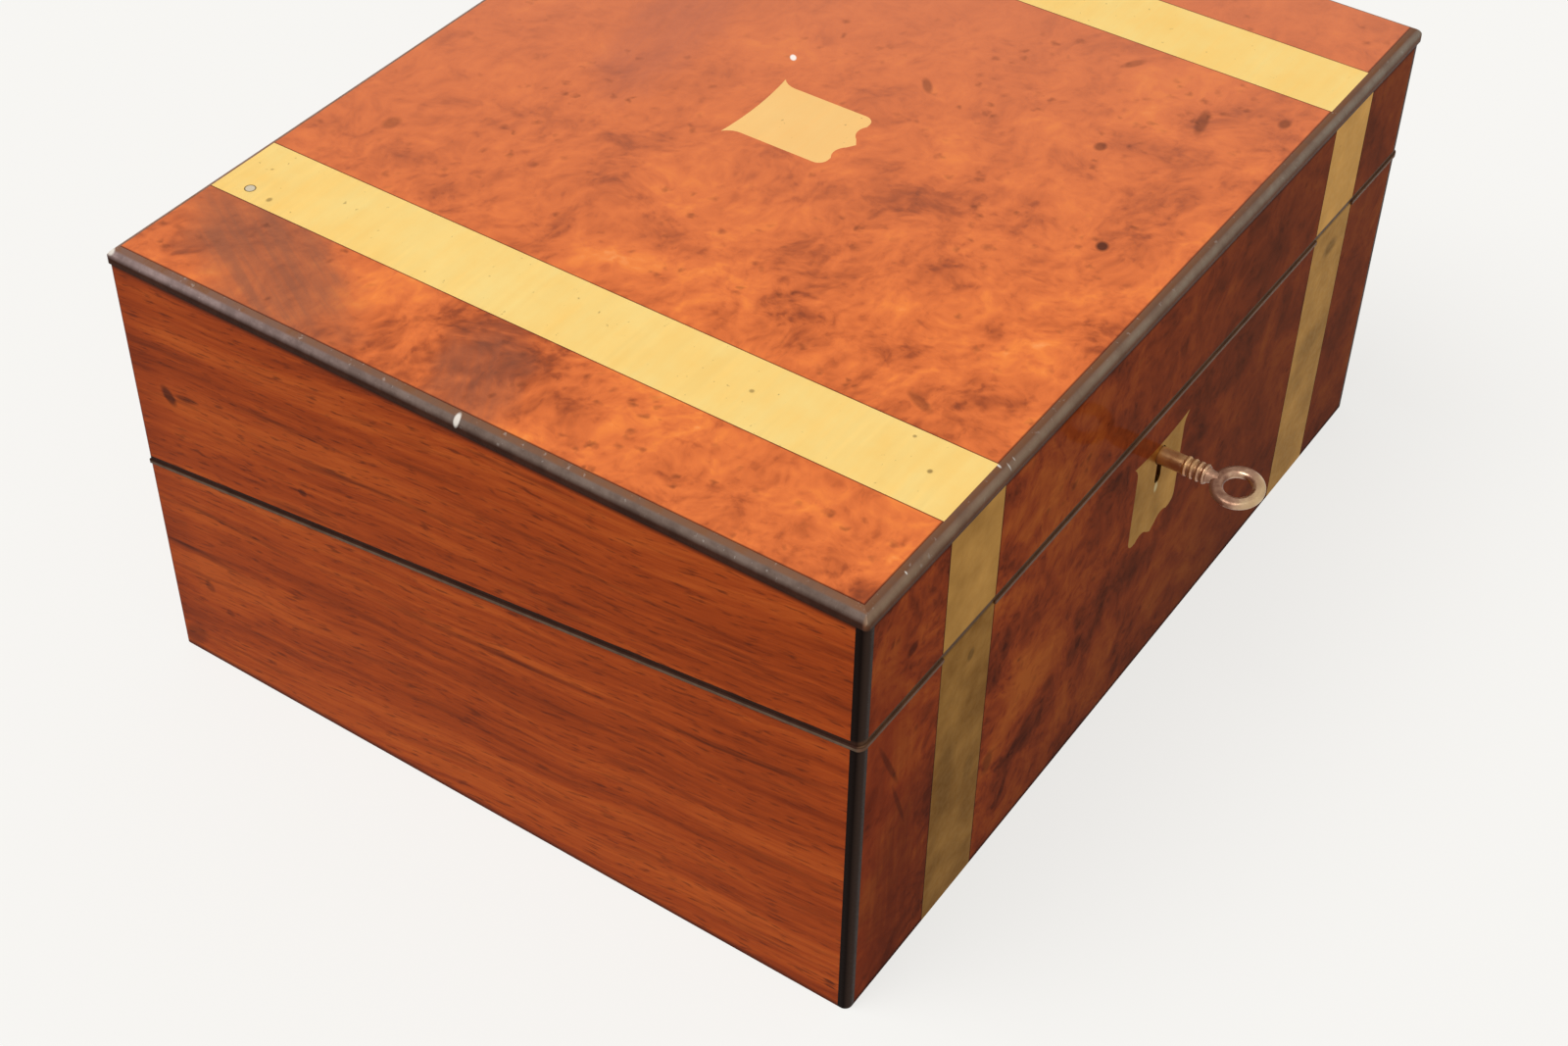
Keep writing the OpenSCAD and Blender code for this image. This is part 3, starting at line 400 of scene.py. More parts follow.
# %% Burr of the top
top_zones = [
    ((-148, 112, top_z), (18, 10, 30), 0.08, (0, 0, 45)), ((-124, 104, top_z), (40, 40, 30), -0.08),
    ((-126, 52, top_z), (14, 22, 30), 0.12), ((-151, 40, top_z), (10, 26, 30), -0.10),
    ((-133, 4, top_z), (30, 26, 30), -0.26), ((-132, -42, top_z), (24, 26, 30), 0.12),
    ((-136, -100, top_z), (30, 26, 30), 0.06), ((-56, -100, top_z), (44, 24, 30), 0.12),
    ((-76, -8, top_z), (20, 40, 30), 0.10), ((-8, -45, top_z), (20, 44, 30), -0.10, (0, 0, 20)),
    ((72, -76, top_z), (30, 20, 30), 0.10), ((52, -64, top_z), (12, 50, 30), -0.08),
    ((88, -112, top_z), (34, 12, 30), -0.08), ((32, 16, top_z), (46, 10, 30), 0.08, (0, 0, -12)),
    ((-10, 58, top_z), (24, 18, 30), -0.12), ((-52, 35, top_z), (16, 12, 30), -0.10),
    ((-74, 96, top_z), (30, 22, 30), 0.06, (0, 0, 30)), ((30, 58, top_z), (40, 16, 30), -0.06),
]
top_plain = [
    ((-134, 83, top_z), (52, 22, 30), 62, "#93583F", 0.75),
    ((-140, 6, top_z), (26, 15, 30), 30, "#9A5A40", 0.5),
    ((30, 66, top_z), (60, 18, 30), 12, "#BD6A4E", 0.5),
]
top_marks = [
    ((0.4, -96.6, top_z), (2.8, 2.2, 3), 0.9, (0, 0, 20)), ((42, -73, top_z), (2.8, 2.2, 3), 0.55),
    ((83, -111, top_z), (3.2, 2.2, 3), 0.55), ((70, -91, top_z), (8, 2.2, 3), 0.5, (0, 0, 14)),
    ((40, -16, top_z), (5, 1.8, 3), 0.45, (0, 0, 40)), ((-66, 99, top_z), (4, 3, 3), 0.35),
    ((86, -60, top_z), (5, 2, 3), 0.35, (0, 0, -30)), ((-84, -91, top_z), (2, 6, 3), 0.4, (0, 0, -25)),
]
top_nicks = [((29.6, 24.6, top_z), (1.9, 1.1, 1.5), (0, 0, 40))]
top_lines = [("X", edge, 0.5) for edge in strap_edges] + [("X", -153.3, 0.7), ("Y", -119.3, 0.7)]
# Its calmer and pinker back right is a painted haze of reflected light
burr_top = burr_walnut(
    "burr_walnut_french_polished_painted_haze",
    stops=[(0.20, "#7E3A20"), (0.34, "#AC5128"), (0.44, "#CA6431"), (0.52, "#DB6F37"), (0.62, "#E8793C"),
           (0.74, "#F6883F"), (0.88, "#FFA25E")],
    weights=(0.86, 0.66, 0.05, 0.07), calm=((0.75, 0.5, 0), -80, 100, 1.05, 0.62), far_tint=("#D27A56", 0.72),
    zones=top_zones, plain=top_plain, marks=top_marks, nicks=top_nicks, lines=top_lines, gloss=(0.05, 0.12))
print("burr of the top:", len(burr_top.node_tree.nodes), "nodes")

# %% Burr of the front
front_zones = [
    ((-70, front_y, 60), (46, 30, 36), 0.10), ((-140, front_y, 60), (12, 30, 70), 0.12, (0, 12, 0)),
    ((-122, front_y, 30), (10, 30, 46), -0.12), ((-14, front_y, 28), (34, 30, 24), 0.14),
    ((-60, front_y, 30), (30, 30, 16), -0.10), ((40, front_y, 60), (40, 30, 60), -0.06),
    ((-30, front_y, 128), (70, 30, 16), 0.12), ((80, front_y, 126), (40, 30, 20), -0.04),
    ((-134, front_y, 122), (12, 30, 12), -0.10), ((140, front_y, 60), (14, 30, 70), -0.05),
]
front_plain = [((-147, front_y, 60), (11, 30, 90), 90, "#A03C16", 0.6),
               ((-128, front_y, 34), (10, 30, 44), 90, "#6A2A14", 0.5)]
front_marks = [
    ((-134, front_y, 121), (3.0, 3, 2.4), 0.6), ((-88, front_y, 38), (3.4, 3, 5.0), 0.45),
    ((-142, front_y, 86), (1.2, 3, 14), 0.5, (0, -25, 0)),
    ((-136, front_y, 66), (1.0, 3, 12), 0.45, (0, -20, 0)), ((-55, front_y, 41), (4.5, 3, 3.5), 0.35),
    ((42, front_y, 128), (5, 3, 4), 0.3),
]
# Painted shade: a dark line along the bottom edge and one under the moulding
edge_shade_lines = [("Z", 0, 2.2), ("Z", moulding_z, 2.0)]
front_lines = [("X", edge, 0.6) for edge in strap_edges] + edge_shade_lines
burr_front = burr_walnut(
    "burr_walnut_french_polished",
    stops=[(0.20, "#5E230F"), (0.34, "#863819"), (0.46, "#A44620"), (0.55, "#B65023"), (0.68, "#C96228"),
           (0.86, "#DB752F")],
    weights=(1.35, 0.6, 0.10, 0.11), calm=((1, 0, 0), -90, 60, 1.0, 0.75), far_tint=("#7A4026", 0.5),
    zones=front_zones, plain=front_plain, marks=front_marks, nicks=[], lines=front_lines, gloss=(0.0, 0.05))
print("burr of the front:", len(burr_front.node_tree.nodes), "nodes")

# %% [markdown]
# ## Straight-grained side veneer
#
# The sides are plain walnut cut along the trunk. Its lines run the length of
# the side and climb a little towards the front. The pattern is noise that is
# stretched along the grain: soft bands, dark streaks, and pores that are fine
# dashes. A Mapping node in texture mode turns the pattern by the angle that is
# written and stretches it by the numbers that are written.

# %% Straight-grained walnut, French polished
def straight_walnut(name, turn, stretch, zones, marks, lines):
    """Plain walnut. Turn is in degrees about x, y and z, stretch is the grain's length along x, y and z."""
    material, tree, shader, mm = start_material(name)
    lie = add(tree, "Mapping", {"Vector": ragged(tree, mm, 70, 9), "Scale": stretch,
                                "Rotation": [math.radians(angle) for angle in turn]}, vector_type="TEXTURE")
    bands = add(tree, "TexNoise", {"Vector": lie, "Scale": 1 / 13, "Detail": 3.0, "Roughness": 0.55})
    streaks = add(tree, "TexNoise", {"Vector": lie, "Scale": 1 / 2.4, "Detail": 5.0, "Roughness": 0.68})
    tone = add(tree, "Math", {0: bands, 1: 0.50, 2: 0.03}, operation="MULTIPLY_ADD")
    tone = add(tree, "Math", {0: streaks, 1: 0.44, 2: tone}, operation="MULTIPLY_ADD")
    tone = shift_tone(tree, ragged(tree, mm, 9, 10), tone, zones)
    wood = add(tree, "ValToRGB", {"Fac": tone}, stops=[
        (0.26, "#6A2208"), (0.38, "#91370D"), (0.50, "#B04917"), (0.60, "#C55B21"), (0.76, "#DB7334")])
    # Pores are dashes of 0.4 by 8 mm; figure lines are fewer, 1 by 30 mm
    shorter = [3.0 if length > 1 else 1.0 for length in stretch]
    short = add(tree, "VectorMath", {0: lie, 1: shorter}, operation="MULTIPLY")
    pores = patchy(tree, short, 0.9, 2.0, (0.56, 0.72), (0.0, 0.6))
    figure = patchy(tree, lie, 3.0, 4.0, (0.56, 0.76), (0.0, 0.6), 0.6)
    dark = add(tree, "Math", {0: pores, 1: figure}, operation="MAXIMUM")
    dark = glue_and_shade_lines(tree, mm, add_marks(tree, mm, dark, marks), lines, 0.9)
    wood = add(tree, "Mix", {0: dark, 6: wood, 7: colour("#4A1A08")}, data_type="RGBA")
    sheen = add(tree, "MapRange", {"Value": streaks, 1: 0.3, 2: 0.7, 3: 0.24, 4: 0.38})
    relief = add(tree, "Bump", {"Height": streaks, "Distance": 0.0001, "Strength": 0.2})
    plug(tree, shader, {"Base Color": wood, "Roughness": sheen, "Normal": relief, "IOR": 1.5,
                        "Specular IOR Level": 0.02, "Coat Weight": 0.05, "Coat Roughness": 0.1})
    return material


print("recipe of the straight veneer ready")

# %% Veneer of the sides and the back
side_zones = [
    # The second zone darkens the side along the top, under the moulding: painted shade
    ((side_x, 122, 90), (40, 16, 110), -0.10), ((side_x, 0, 146), (40, 150, 7), -0.06),
    ((side_x, 20, 118), (40, 90, 12), 0.05, (-4, 0, 0)), ((side_x, -70, 120), (40, 50, 14), 0.03, (-8, 0, 0)),
    ((side_x, 30, 46), (40, 90, 16), -0.05, (-5, 0, 0)), ((side_x, 40, 22), (40, 90, 16), 0.07),
    ((side_x, -60, 30), (40, 60, 14), 0.05, (6, 0, 0)), ((side_x, -80, 80), (40, 50, 8), -0.07, (-8, 0, 0)),
    ((side_x, 84, 62), (40, 40, 9), -0.07),
]
side_marks = [
    ((side_x, 108, 105), (4, 2.6, 4.2), 0.8, (-35, 0, 0)),
    ((side_x, 101, 107), (4, 5.5, 1.3), 0.6, (-8, 0, 0)), ((side_x, 60, 93.6), (4, 1.9, 1.6), 0.7),
    ((side_x, -116, 8.5), (4, 2.4, 0.7), 0.7), ((side_x, -116, 6.6), (4, 2.2, 0.6), 0.7),
    ((side_x, 117, 6), (6, 8, 4.5), 0.4, (-40, 0, 0)), ((side_x, 106, 32), (4, 2.2, 2.6), 0.45, (-40, 0, 0)),
    ((side_x, 99, 25), (4, 2.0, 1.6), 0.4), ((side_x, -4, 69.8), (4, 52, 1.3), 0.36, (-6, 0, 0)),
    ((side_x, -86, 80), (4, 36, 1.4), 0.34, (-9, 0, 0)), ((side_x, 88, 64), (4, 30, 1.2), 0.32, (-1, 0, 0)),
    ((side_x, 22, 109.7), (4, 46, 1.1), 0.30, (-5, 0, 0)),
    ((side_x, -60, 119), (4, 32, 0.9), 0.30, (-4, 0, 0)), ((side_x, 104, 45), (4, 22, 1.3), 0.30),
    ((side_x, -30, 61), (4, 40, 0.9), 0.26, (-7, 0, 0)), ((side_x, 60, 116), (4, 34, 0.9), 0.26, (-3, 0, 0)),
]
side_walnut = straight_walnut("straight_walnut_sides", (-6, 0, 0), (1, 22, 1), side_zones, side_marks,
                              edge_shade_lines + [("Y", back_y, 1.6)])
back_walnut = straight_walnut("straight_walnut_back", (0, -2, 0), (22, 1, 1), [], [], edge_shade_lines)
print("side veneer:", len(side_walnut.node_tree.nodes), "nodes")

# %% [markdown]
# ## Brass
#
# The straps are sheet brass, rolled, pinned down, and then filed level with
# the veneer and rubbed with fine grit. On the top they are kept bright by
# hands. On the front they have turned brown, more so on the base and towards
# the left. A metal shows only what it mirrors, tinted by its base colour, so
# that colour is written as bright as the metal should look. Seen at a slant
# every metal goes pale; the specular tint holds that back, as tarnish does.
#
# The pins are steel, filed flush with the brass. They are drawn, because a
# flush head has no height: a grey disc in a thin dark ring.

# %% Brass sheet
def sheet_brass(name, dull, bright, level=0.5, steps=(), bands=(22, 1, 1), stains=(), glints=(), lines=(),
                pins=(), at_a_slant="#FFF4E0"):
    """Brass between a dull and a bright colour.

    Level says how bright it starts; a step is an axis, two places along it and
    what it adds. Bands are the length of the rolling marks along x, y and z.
    Stains are marks, glints are painted highlights given as (place, reach),
    lines are thin dark lines, for glue and for painted shade, and pins are
    (place, radius). The last colour tints what it mirrors at a slant.
    """
    material, tree, shader, mm = start_material(name)
    apart = add(tree, "SeparateXYZ", {"Vector": mm})
    patches = add(tree, "TexNoise", {"Vector": mm, "Scale": 1 / 16, "Detail": 5.0, "Roughness": 0.6})
    shine = add(tree, "Math", {0: patches, 1: 0.8, 2: level - 0.4}, operation="MULTIPLY_ADD")
    for axis, start, end, gain in steps:
        step = add(tree, "MapRange", {"Value": apart.outputs[axis], 1: start, 2: end, 3: 0.0, 4: gain})
        shine = add(tree, "Math", {0: shine, 1: step}, operation="ADD")
    across = add(tree, "Mapping", {"Vector": mm, "Scale": bands}, vector_type="TEXTURE")
    rolled = add(tree, "TexNoise", {"Vector": across, "Scale": 1 / 3, "Detail": 3.0})
    shine = add(tree, "Math", {0: rolled, 1: 0.3, 2: shine}, operation="MULTIPLY_ADD")
    shine = add(tree, "Math", {0: shine, 1: 0.15}, operation="SUBTRACT", use_clamp=True)
    metal = add(tree, "Mix", {0: shine, 6: colour(dull), 7: colour(bright)}, data_type="RGBA")
    pits = patchy(tree, mm, 1.8, 2.0, (0.72, 0.78), (0.0, 0.4))
    dark = glue_and_shade_lines(tree, mm, add_marks(tree, mm, pits, stains, 2.0), lines, 0.85)
    layers = [(dark, "#4A2810")]
    layers += [(spot(tree, mm, place, reach, 2.0), "#B4A884") for place, reach in glints]
    for place, radius in pins:
        head = blemish(tree, mm, place, (radius,) * 3)
        ring = add(tree, "MapRange", {"Value": head, 1: 0.02, 2: 0.10, 3: 0.0, 4: 0.85})
        disc = add(tree, "MapRange", {"Value": head, 1: 0.20, 2: 0.28, 3: 0.0, 4: 1.0})
        layers += [(ring, "#3A2A1E"), (disc, "#D9CDB6")]
    for mask, tint in layers:
        metal = add(tree, "Mix", {0: mask, 6: metal, 7: colour(tint)}, data_type="RGBA")
    rub = add(tree, "TexNoise", {"Vector": across, "Scale": 1 / 0.8, "Detail": 3.0})
    sheen = add(tree, "MapRange", {"Value": rub, 1: 0.3, 2: 0.7, 3: 0.30, 4: 0.44})
    relief = add(tree, "Bump", {"Height": rub, "Distance": 0.00004, "Strength": 0.2})
    plug(tree, shader, {"Base Color": metal, "Metallic": 1.0, "Roughness": sheen, "Normal": relief,
                        "Specular Tint": colour(at_a_slant)})
    return material


print("recipe of the brass ready")

# %% Straps, shields and works
top_stains = [((-114.3, 101.5, top_z), (1.3, 1.0, 3), 0.5), ((-105, -54, top_z), (0.9, 0.9, 3), 0.5),
              ((-105, -107, top_z), (1.0, 0.9, 3), 0.6), ((-96, -97, top_z), (0.7, 0.7, 3), 0.5)]
brass_top = sheet_brass("rolled_brass_rubbed_bright", "#FFCC6C", "#FFE89C", stains=top_stains,
                        pins=[((-113.3, 109.5, top_z), 1.8)])
brass_shield = sheet_brass("rolled_brass_shield", "#FFC77A", "#FFD690")
front_stains = [((-103.4, front_y, 93.6), (2.2, 3, 2.6), 0.7), ((111, front_y, 94), (5.5, 3, 3.5), 0.6),
                ((-99, front_y, 46), (3.5, 3, 6), 0.35), ((-112, front_y, 54), (6, 3, 22), 0.3),
                ((110, front_y, 58), (13, 3, 6), 0.30)]
# Painted highlights on the rim of the keyhole
keyhole_glints = [((1.8, front_y, 74.4), (1.3, 3, 2.4)), ((0.5, front_y, 84.6), (0.6, 3, 1.6))]
# The dark line across the strap at the split is painted shade in the gap
brass_front = sheet_brass(
    "rolled_brass_tarnished", "#6C4217", "#D6A45B", level=0.09,
    steps=[("X", -60, 0, 0.27), ("Z", rim_front_z, rim_front_z + 1, 0.35)], bands=(2.5, 2.5, 2.5),
    stains=front_stains, glints=keyhole_glints, lines=[("Z", rim_front_z + 0.2, 1.5)], at_a_slant="#E9DAC1")
brass_works = sheet_brass("cast_brass_works", "#A98446", "#E0BC74", bands=(6, 6, 6))
print("brass:", brass_top.name, brass_shield.name, brass_front.name, brass_works.name)

# %% [markdown]
# ## Milled brass of the ink caps
#
# A cap is unscrewed with two fingers, so its rim is milled: fine upright
# grooves, about forty round the edge. They could be cut in the mesh, but they
# are only 0.2 mm deep, so a bump that follows the angle round the cap's axis
# shows them as well. Both caps share the material: the absolute value of x
# folds one onto the other.

# %% Milled caps
milled_brass = brass_works.copy()
milled_brass.name = "turned_brass_milled_cap"
tree = milled_brass.node_tree
shader = next(node for node in tree.nodes if node.type == "BSDF_PRINCIPLED")
groove_count, groove_depth, groove_top = 40, 0.2, 91.0
cap_mm = millimetres(tree)
folded = add(tree, "VectorMath", {0: cap_mm}, operation="ABSOLUTE")
centred = add(tree, "VectorMath", {0: folded, 1: (well_x, abs(well_y), 0)}, operation="SUBTRACT")
angle = add(tree, "TexGradient", {"Vector": centred}, gradient_type="RADIAL")
grooves = add(tree, "Math", {0: angle.outputs["Fac"], 1: groove_count * math.tau}, operation="MULTIPLY")
grooves = add(tree, "Math", {0: grooves}, operation="SINE")
height = add(tree, "SeparateXYZ", {"Vector": cap_mm})
below = add(tree, "MapRange", {"Value": height.outputs["Z"], 1: groove_top - 0.4, 2: groove_top,
                               3: 1.0, 4: 0.0})
grooves = add(tree, "Math", {0: grooves, 1: below}, operation="MULTIPLY")
relief = add(tree, "Bump", {"Height": grooves, "Distance": groove_depth * MM, "Strength": 0.8})
plug(tree, shader, {"Normal": relief})
print("cap material ready")

# %% [markdown]
# ## Ebony
#
# Ebony is nearly black and close grained. It keeps its black on the corner
# strips. Painted highlights and reflections make it brown and then grey at the
# two rims that meet in the split, on the faces towards the front, and most of
# all on the round moulding at the top edge. A mask for each band of painted
# light comes from the place in the box, one noise makes them all uneven, and
# each layer is mixed over the last one.

# %% Ebony: black wood and painted highlights on the rims
ebony, tree, shader, mm = start_material("ebony_oiled_chipped_painted_sheen")
apart = add(tree, "SeparateXYZ", {"Vector": mm})
uneven_sheen = patchy(tree, mm, 8, 5.0, (0.38, 0.62), (0.6, 1.0), 0.7)
# Painted reflection: ebony that faces the front is a paler, greyer brown
front = add(tree, "MapRange", {"Value": apart.outputs["Y"], 1: -120.6, 2: -121.6, 3: 0.0, 4: 1.0})
skin = add(tree, "Mix", {0: front, 6: colour("#180E0A"), 7: colour("#43332B")}, data_type="RGBA")
# Height above the slant. Painted highlights: a brown band across both rims at the split, and a grey one on
# the lower rim's rounded edge, where it takes the light
from_rim = add(tree, "VectorMath", {0: mm, 1: rim_back}, operation="SUBTRACT")
upright = (0, math.sin(slant), math.cos(slant))
height = add(tree, "VectorMath", {0: from_rim, 1: upright}, operation="DOT_PRODUCT")
rim_lit_brown = add(tree, "Mix", {0: front, 6: colour("#3C241B"), 7: colour("#73523A")}, data_type="RGBA")
rim_lit_grey = add(tree, "Mix", {0: front, 6: colour("#74604F"), 7: colour("#8F6B55")}, data_type="RGBA")
for middle, half, tint in ((0, 1.9, rim_lit_brown), (-0.95, 0.7, rim_lit_grey)):
    off = add(tree, "Math", {0: height, 1: middle}, operation="SUBTRACT")
    off = add(tree, "Math", {0: off}, operation="ABSOLUTE")
    near = add(tree, "MapRange", {"Value": off, 1: 0.6 * half, 2: half, 3: 1.0, 4: 0.0})
    near = add(tree, "Math", {0: near, 1: uneven_sheen}, operation="MULTIPLY")
    skin = add(tree, "Mix", {0: near, 6: skin, 7: tint}, data_type="RGBA")
print("rims worn")

# %% Ebony: painted highlights on the moulding
# Painted light all round the moulding: dark brown below, a grey highlight where it turns over, paler towards
# the back, and a brown reflection where it is flat.
# A layer starts at one height, is full at the next, and has a colour
paler = add(tree, "MapRange", {"Value": apart.outputs["Y"], 1: 0, 2: 100, 3: 0.0, 4: 1.0})
side_highlight = add(tree, "Mix", {0: paler, 6: colour("#7E6C62"), 7: colour("#A08A86")}, data_type="RGBA")
layers = [(144.7, 145.5, colour("#452A20")), (146.9, 148.2, side_highlight), (149.0, 149.4, colour("#80563C"))]
for start, full, tint in layers:
    painted_sheen = add(tree, "MapRange", {"Value": apart.outputs["Z"], 1: start, 2: full, 3: 0.0, 4: 1.0})
    painted_sheen = add(tree, "Math", {0: painted_sheen, 1: uneven_sheen}, operation="MULTIPLY")
    skin = add(tree, "Mix", {0: painted_sheen, 6: skin, 7: tint}, data_type="RGBA")
# On the front each painted highlight is a band that also ends at a height, and the nose is greyer towards the
# right
greyer = add(tree, "MapRange", {"Value": apart.outputs["X"], 1: -130, 2: 90, 3: 0.0, 4: 1.0})
front_highlight = add(tree, "Mix", {0: greyer, 6: colour("#A1876F"), 7: colour("#9E9080")}, data_type="RGBA")
for start, full, end, tint in ((144.9, 146.3, 150.4, colour("#84573E")), (146.6, 147.8, 149.8, front_highlight)):
    painted_sheen = add(tree, "MapRange", {"Value": apart.outputs["Z"], 1: start, 2: full, 3: 0.0, 4: 1.0})
    fall = add(tree, "MapRange", {"Value": apart.outputs["Z"], 1: end - 0.6, 2: end, 3: 1.0, 4: 0.0})
    for factor in (fall, front, uneven_sheen):
        painted_sheen = add(tree, "Math", {0: painted_sheen, 1: factor}, operation="MULTIPLY")
    skin = add(tree, "Mix", {0: painted_sheen, 6: skin, 7: tint}, data_type="RGBA")
print("moulding worn")

# %% Ebony: scuffs, chips, a painted corner highlight and shine
scuff = patchy(tree, mm, 1.6, 3.0, (0.66, 0.72), (0.0, 0.22))
high = add(tree, "MapRange", {"Value": apart.outputs["Z"], 1: 147.0, 2: 148.0, 3: 0.0, 4: 1.0})
scuff = add(tree, "Math", {0: scuff, 1: high}, operation="MULTIPLY")
skin = add(tree, "Mix", {0: scuff, 6: skin, 7: colour("#D9CFC6")}, data_type="RGBA")
# Chips, scratches that run down over the nose, and a painted highlight on the back left corner of the
# moulding: place, reach, strength
chips_and_corner_glint = [((-155.4, 0.6, 148.6), (2.2, 1.1, 2.4), 2.5), ((-155.0, 121.2, 148.8), (1.6, 1.6, 1.6), 2.5),
         ((-93.4, -119.7, 149.9), (0.45, 1.0, 0.8), 1.8), ((-91.0, -121.5, 148.8), (0.35, 1.3, 1.6), 1.1),
         ((-88.2, -121.2, 149.2), (0.3, 1.0, 0.7), 0.9), ((-137.9, -121.1, 149.3), (0.35, 0.8, 0.6), 2.0)]
for pale_place, reach, strength in chips_and_corner_glint:
    pale_spot = spot(tree, mm, pale_place, reach, strength)
    skin = add(tree, "Mix", {0: pale_spot, 6: skin, 7: colour("#E6DDD2")}, data_type="RGBA")
hairlines = patchy(tree, mm, 1.2, 3.0, (0.3, 0.7), (0.22, 0.40))
plug(tree, shader, {"Base Color": skin, "Roughness": hairlines, "Specular IOR Level": 0.02})
print("ebony:", len(tree.nodes), "nodes")

# %% [markdown]
# ## Iron of the key
#
# The key is wrought iron that was once bright. Its skin of rust is pinkish
# brown, with bare metal where fingers rub the bow. One noise sets colour,
# shine and depth together, because on real rust the pits are dark and dull
# and the high places are pale and shiny.

# %% Iron, rusted
rusty_iron, tree, shader, mm = start_material("wrought_iron_rusted")
apart = add(tree, "SeparateXYZ", {"Vector": mm})
crust = add(tree, "TexNoise", {"Vector": mm, "Scale": 1 / 4.5, "Detail": 4.0, "Roughness": 0.55})
rust = add(tree, "ValToRGB", {"Fac": crust}, stops=[
    (0.30, "#7C523E"), (0.44, "#A27A62"), (0.56, "#B48E76"), (0.70, "#CFB192")])
# Painted reflections: the shank is tinted orange by the wood it mirrors, and its upper side has a pale
# painted highlight; the end of the bow is rubbed
shank = add(tree, "MapRange", {"Value": apart.outputs["Y"], 1: -138, 2: -128, 3: 0.0, 4: 0.75})
shank_highlight = add(tree, "MapRange", {"Value": apart.outputs["Z"], 1: 87.4, 2: 88.6, 3: 0.0, 4: 1.0})
shank_highlight = add(tree, "Math", {0: shank_highlight, 1: shank}, operation="MULTIPLY")
rubbed_end = add(tree, "MapRange", {"Value": apart.outputs["Y"], 1: -148, 2: -153, 3: 0.0, 4: 0.7})
for mask, tint in ((shank, "#BA7A48"), (shank_highlight, "#F0C488"), (rubbed_end, "#CCB084")):
    rust = add(tree, "Mix", {0: mask, 6: rust, 7: colour(tint)}, data_type="RGBA")
bare = add(tree, "MapRange", {"Value": crust, 1: 0.35, 2: 0.6, 3: 0.5, 4: 0.95})
sheen = add(tree, "MapRange", {"Value": crust, 1: 0.35, 2: 0.6, 3: 0.48, 4: 0.30})
relief = add(tree, "Bump", {"Height": crust, "Distance": 0.0003, "Strength": 0.3})
plug(tree, shader, {"Base Color": rust, "Metallic": bare, "Roughness": sheen, "Normal": relief})
print("iron:", len(tree.nodes), "nodes")

# %% [markdown]
# ## Tooled leather
#
# Each writing flap is faced with calf, dyed green. A hot wheel presses a gilt
# line into it, a little inside its edge. The line is found by distance: how
# far a point is from the middle, along x and along the slant, less the size
# of the leather. The flaps lie on the slant, so their length is measured with
# a dot product along it.

# %% Leather with a gilt line
leather_half_width = 135.4
gilt_inset = 4.0


def tooled_leather(name, middle, half_length):
    """Calf. Middle and half length are measured along the slant, from the back of the rim."""
    material, tree, shader, mm = start_material(name)
    grain = add(tree, "TexVoronoi", {"Vector": mm, "Scale": 1 / 0.9, "Randomness": 1.0}, feature="SMOOTH_F1")
    hide = add(tree, "TexNoise", {"Vector": mm, "Scale": 1 / 26, "Detail": 6.0, "Roughness": 0.6})
    skin = add(tree, "ValToRGB", {"Fac": hide}, stops=[
        (0.30, "#1F2A18"), (0.46, "#2B3822"), (0.58, "#37442B"), (0.74, "#585B3C")])
    apart = add(tree, "SeparateXYZ", {"Vector": mm})
    side = add(tree, "Math", {0: apart.outputs["X"]}, operation="ABSOLUTE")
    side = add(tree, "Math", {0: side, 1: leather_half_width}, operation="SUBTRACT")
    from_rim = add(tree, "VectorMath", {0: mm, 1: rim_back}, operation="SUBTRACT")
    along_slant = (0, math.cos(slant), -math.sin(slant))
    along = add(tree, "VectorMath", {0: from_rim, 1: along_slant}, operation="DOT_PRODUCT")
    end = add(tree, "Math", {0: along, 1: middle}, operation="SUBTRACT")
    end = add(tree, "Math", {0: end}, operation="ABSOLUTE")
    end = add(tree, "Math", {0: end, 1: half_length}, operation="SUBTRACT")
    edge = add(tree, "Math", {0: side, 1: end}, operation="MAXIMUM")
    inset = add(tree, "Math", {0: edge, 1: gilt_inset}, operation="ADD")
    inset = add(tree, "Math", {0: inset}, operation="ABSOLUTE")
    gilt = add(tree, "MapRange", {"Value": inset, 1: 0.35, 2: 0.55, 3: 1.0, 4: 0.0})
    kept = patchy(tree, mm, 5, 4.0, (0.36, 0.46), (0.2, 1.0))
    gilt = add(tree, "Math", {0: gilt, 1: kept}, operation="MULTIPLY")
    dressed = add(tree, "Mix", {0: gilt, 6: skin, 7: colour("#D9AE58")}, data_type="RGBA")
    pressed = add(tree, "Math", {0: gilt, 1: -2.0, 2: grain.outputs["Distance"]}, operation="MULTIPLY_ADD")
    relief = add(tree, "Bump", {"Height": pressed, "Distance": 0.00015, "Strength": 0.4})
    plug(tree, shader, {"Base Color": dressed, "Metallic": gilt, "Normal": relief, "Roughness": 0.5,
                        "Specular IOR Level": 0.3})
    return material


leather_base = tooled_leather("calf_leather_green_base", -103.5, 70.9)
leather_lid = tooled_leather("calf_leather_green_lid", -121.9, 89.2)
print("leather:", leather_base.name, leather_lid.name)

# %% [markdown]
# ## Inner woods and glass
#
# Inside, the boards are mahogany with a thin coat of shellac, and the carcass
# under the veneer is the same wood left dull. A board is sawn along its grain,
# so the grain of those that run from front to back is turned with them. The
# ink bottles are moulded glass, thick walled and faintly green.

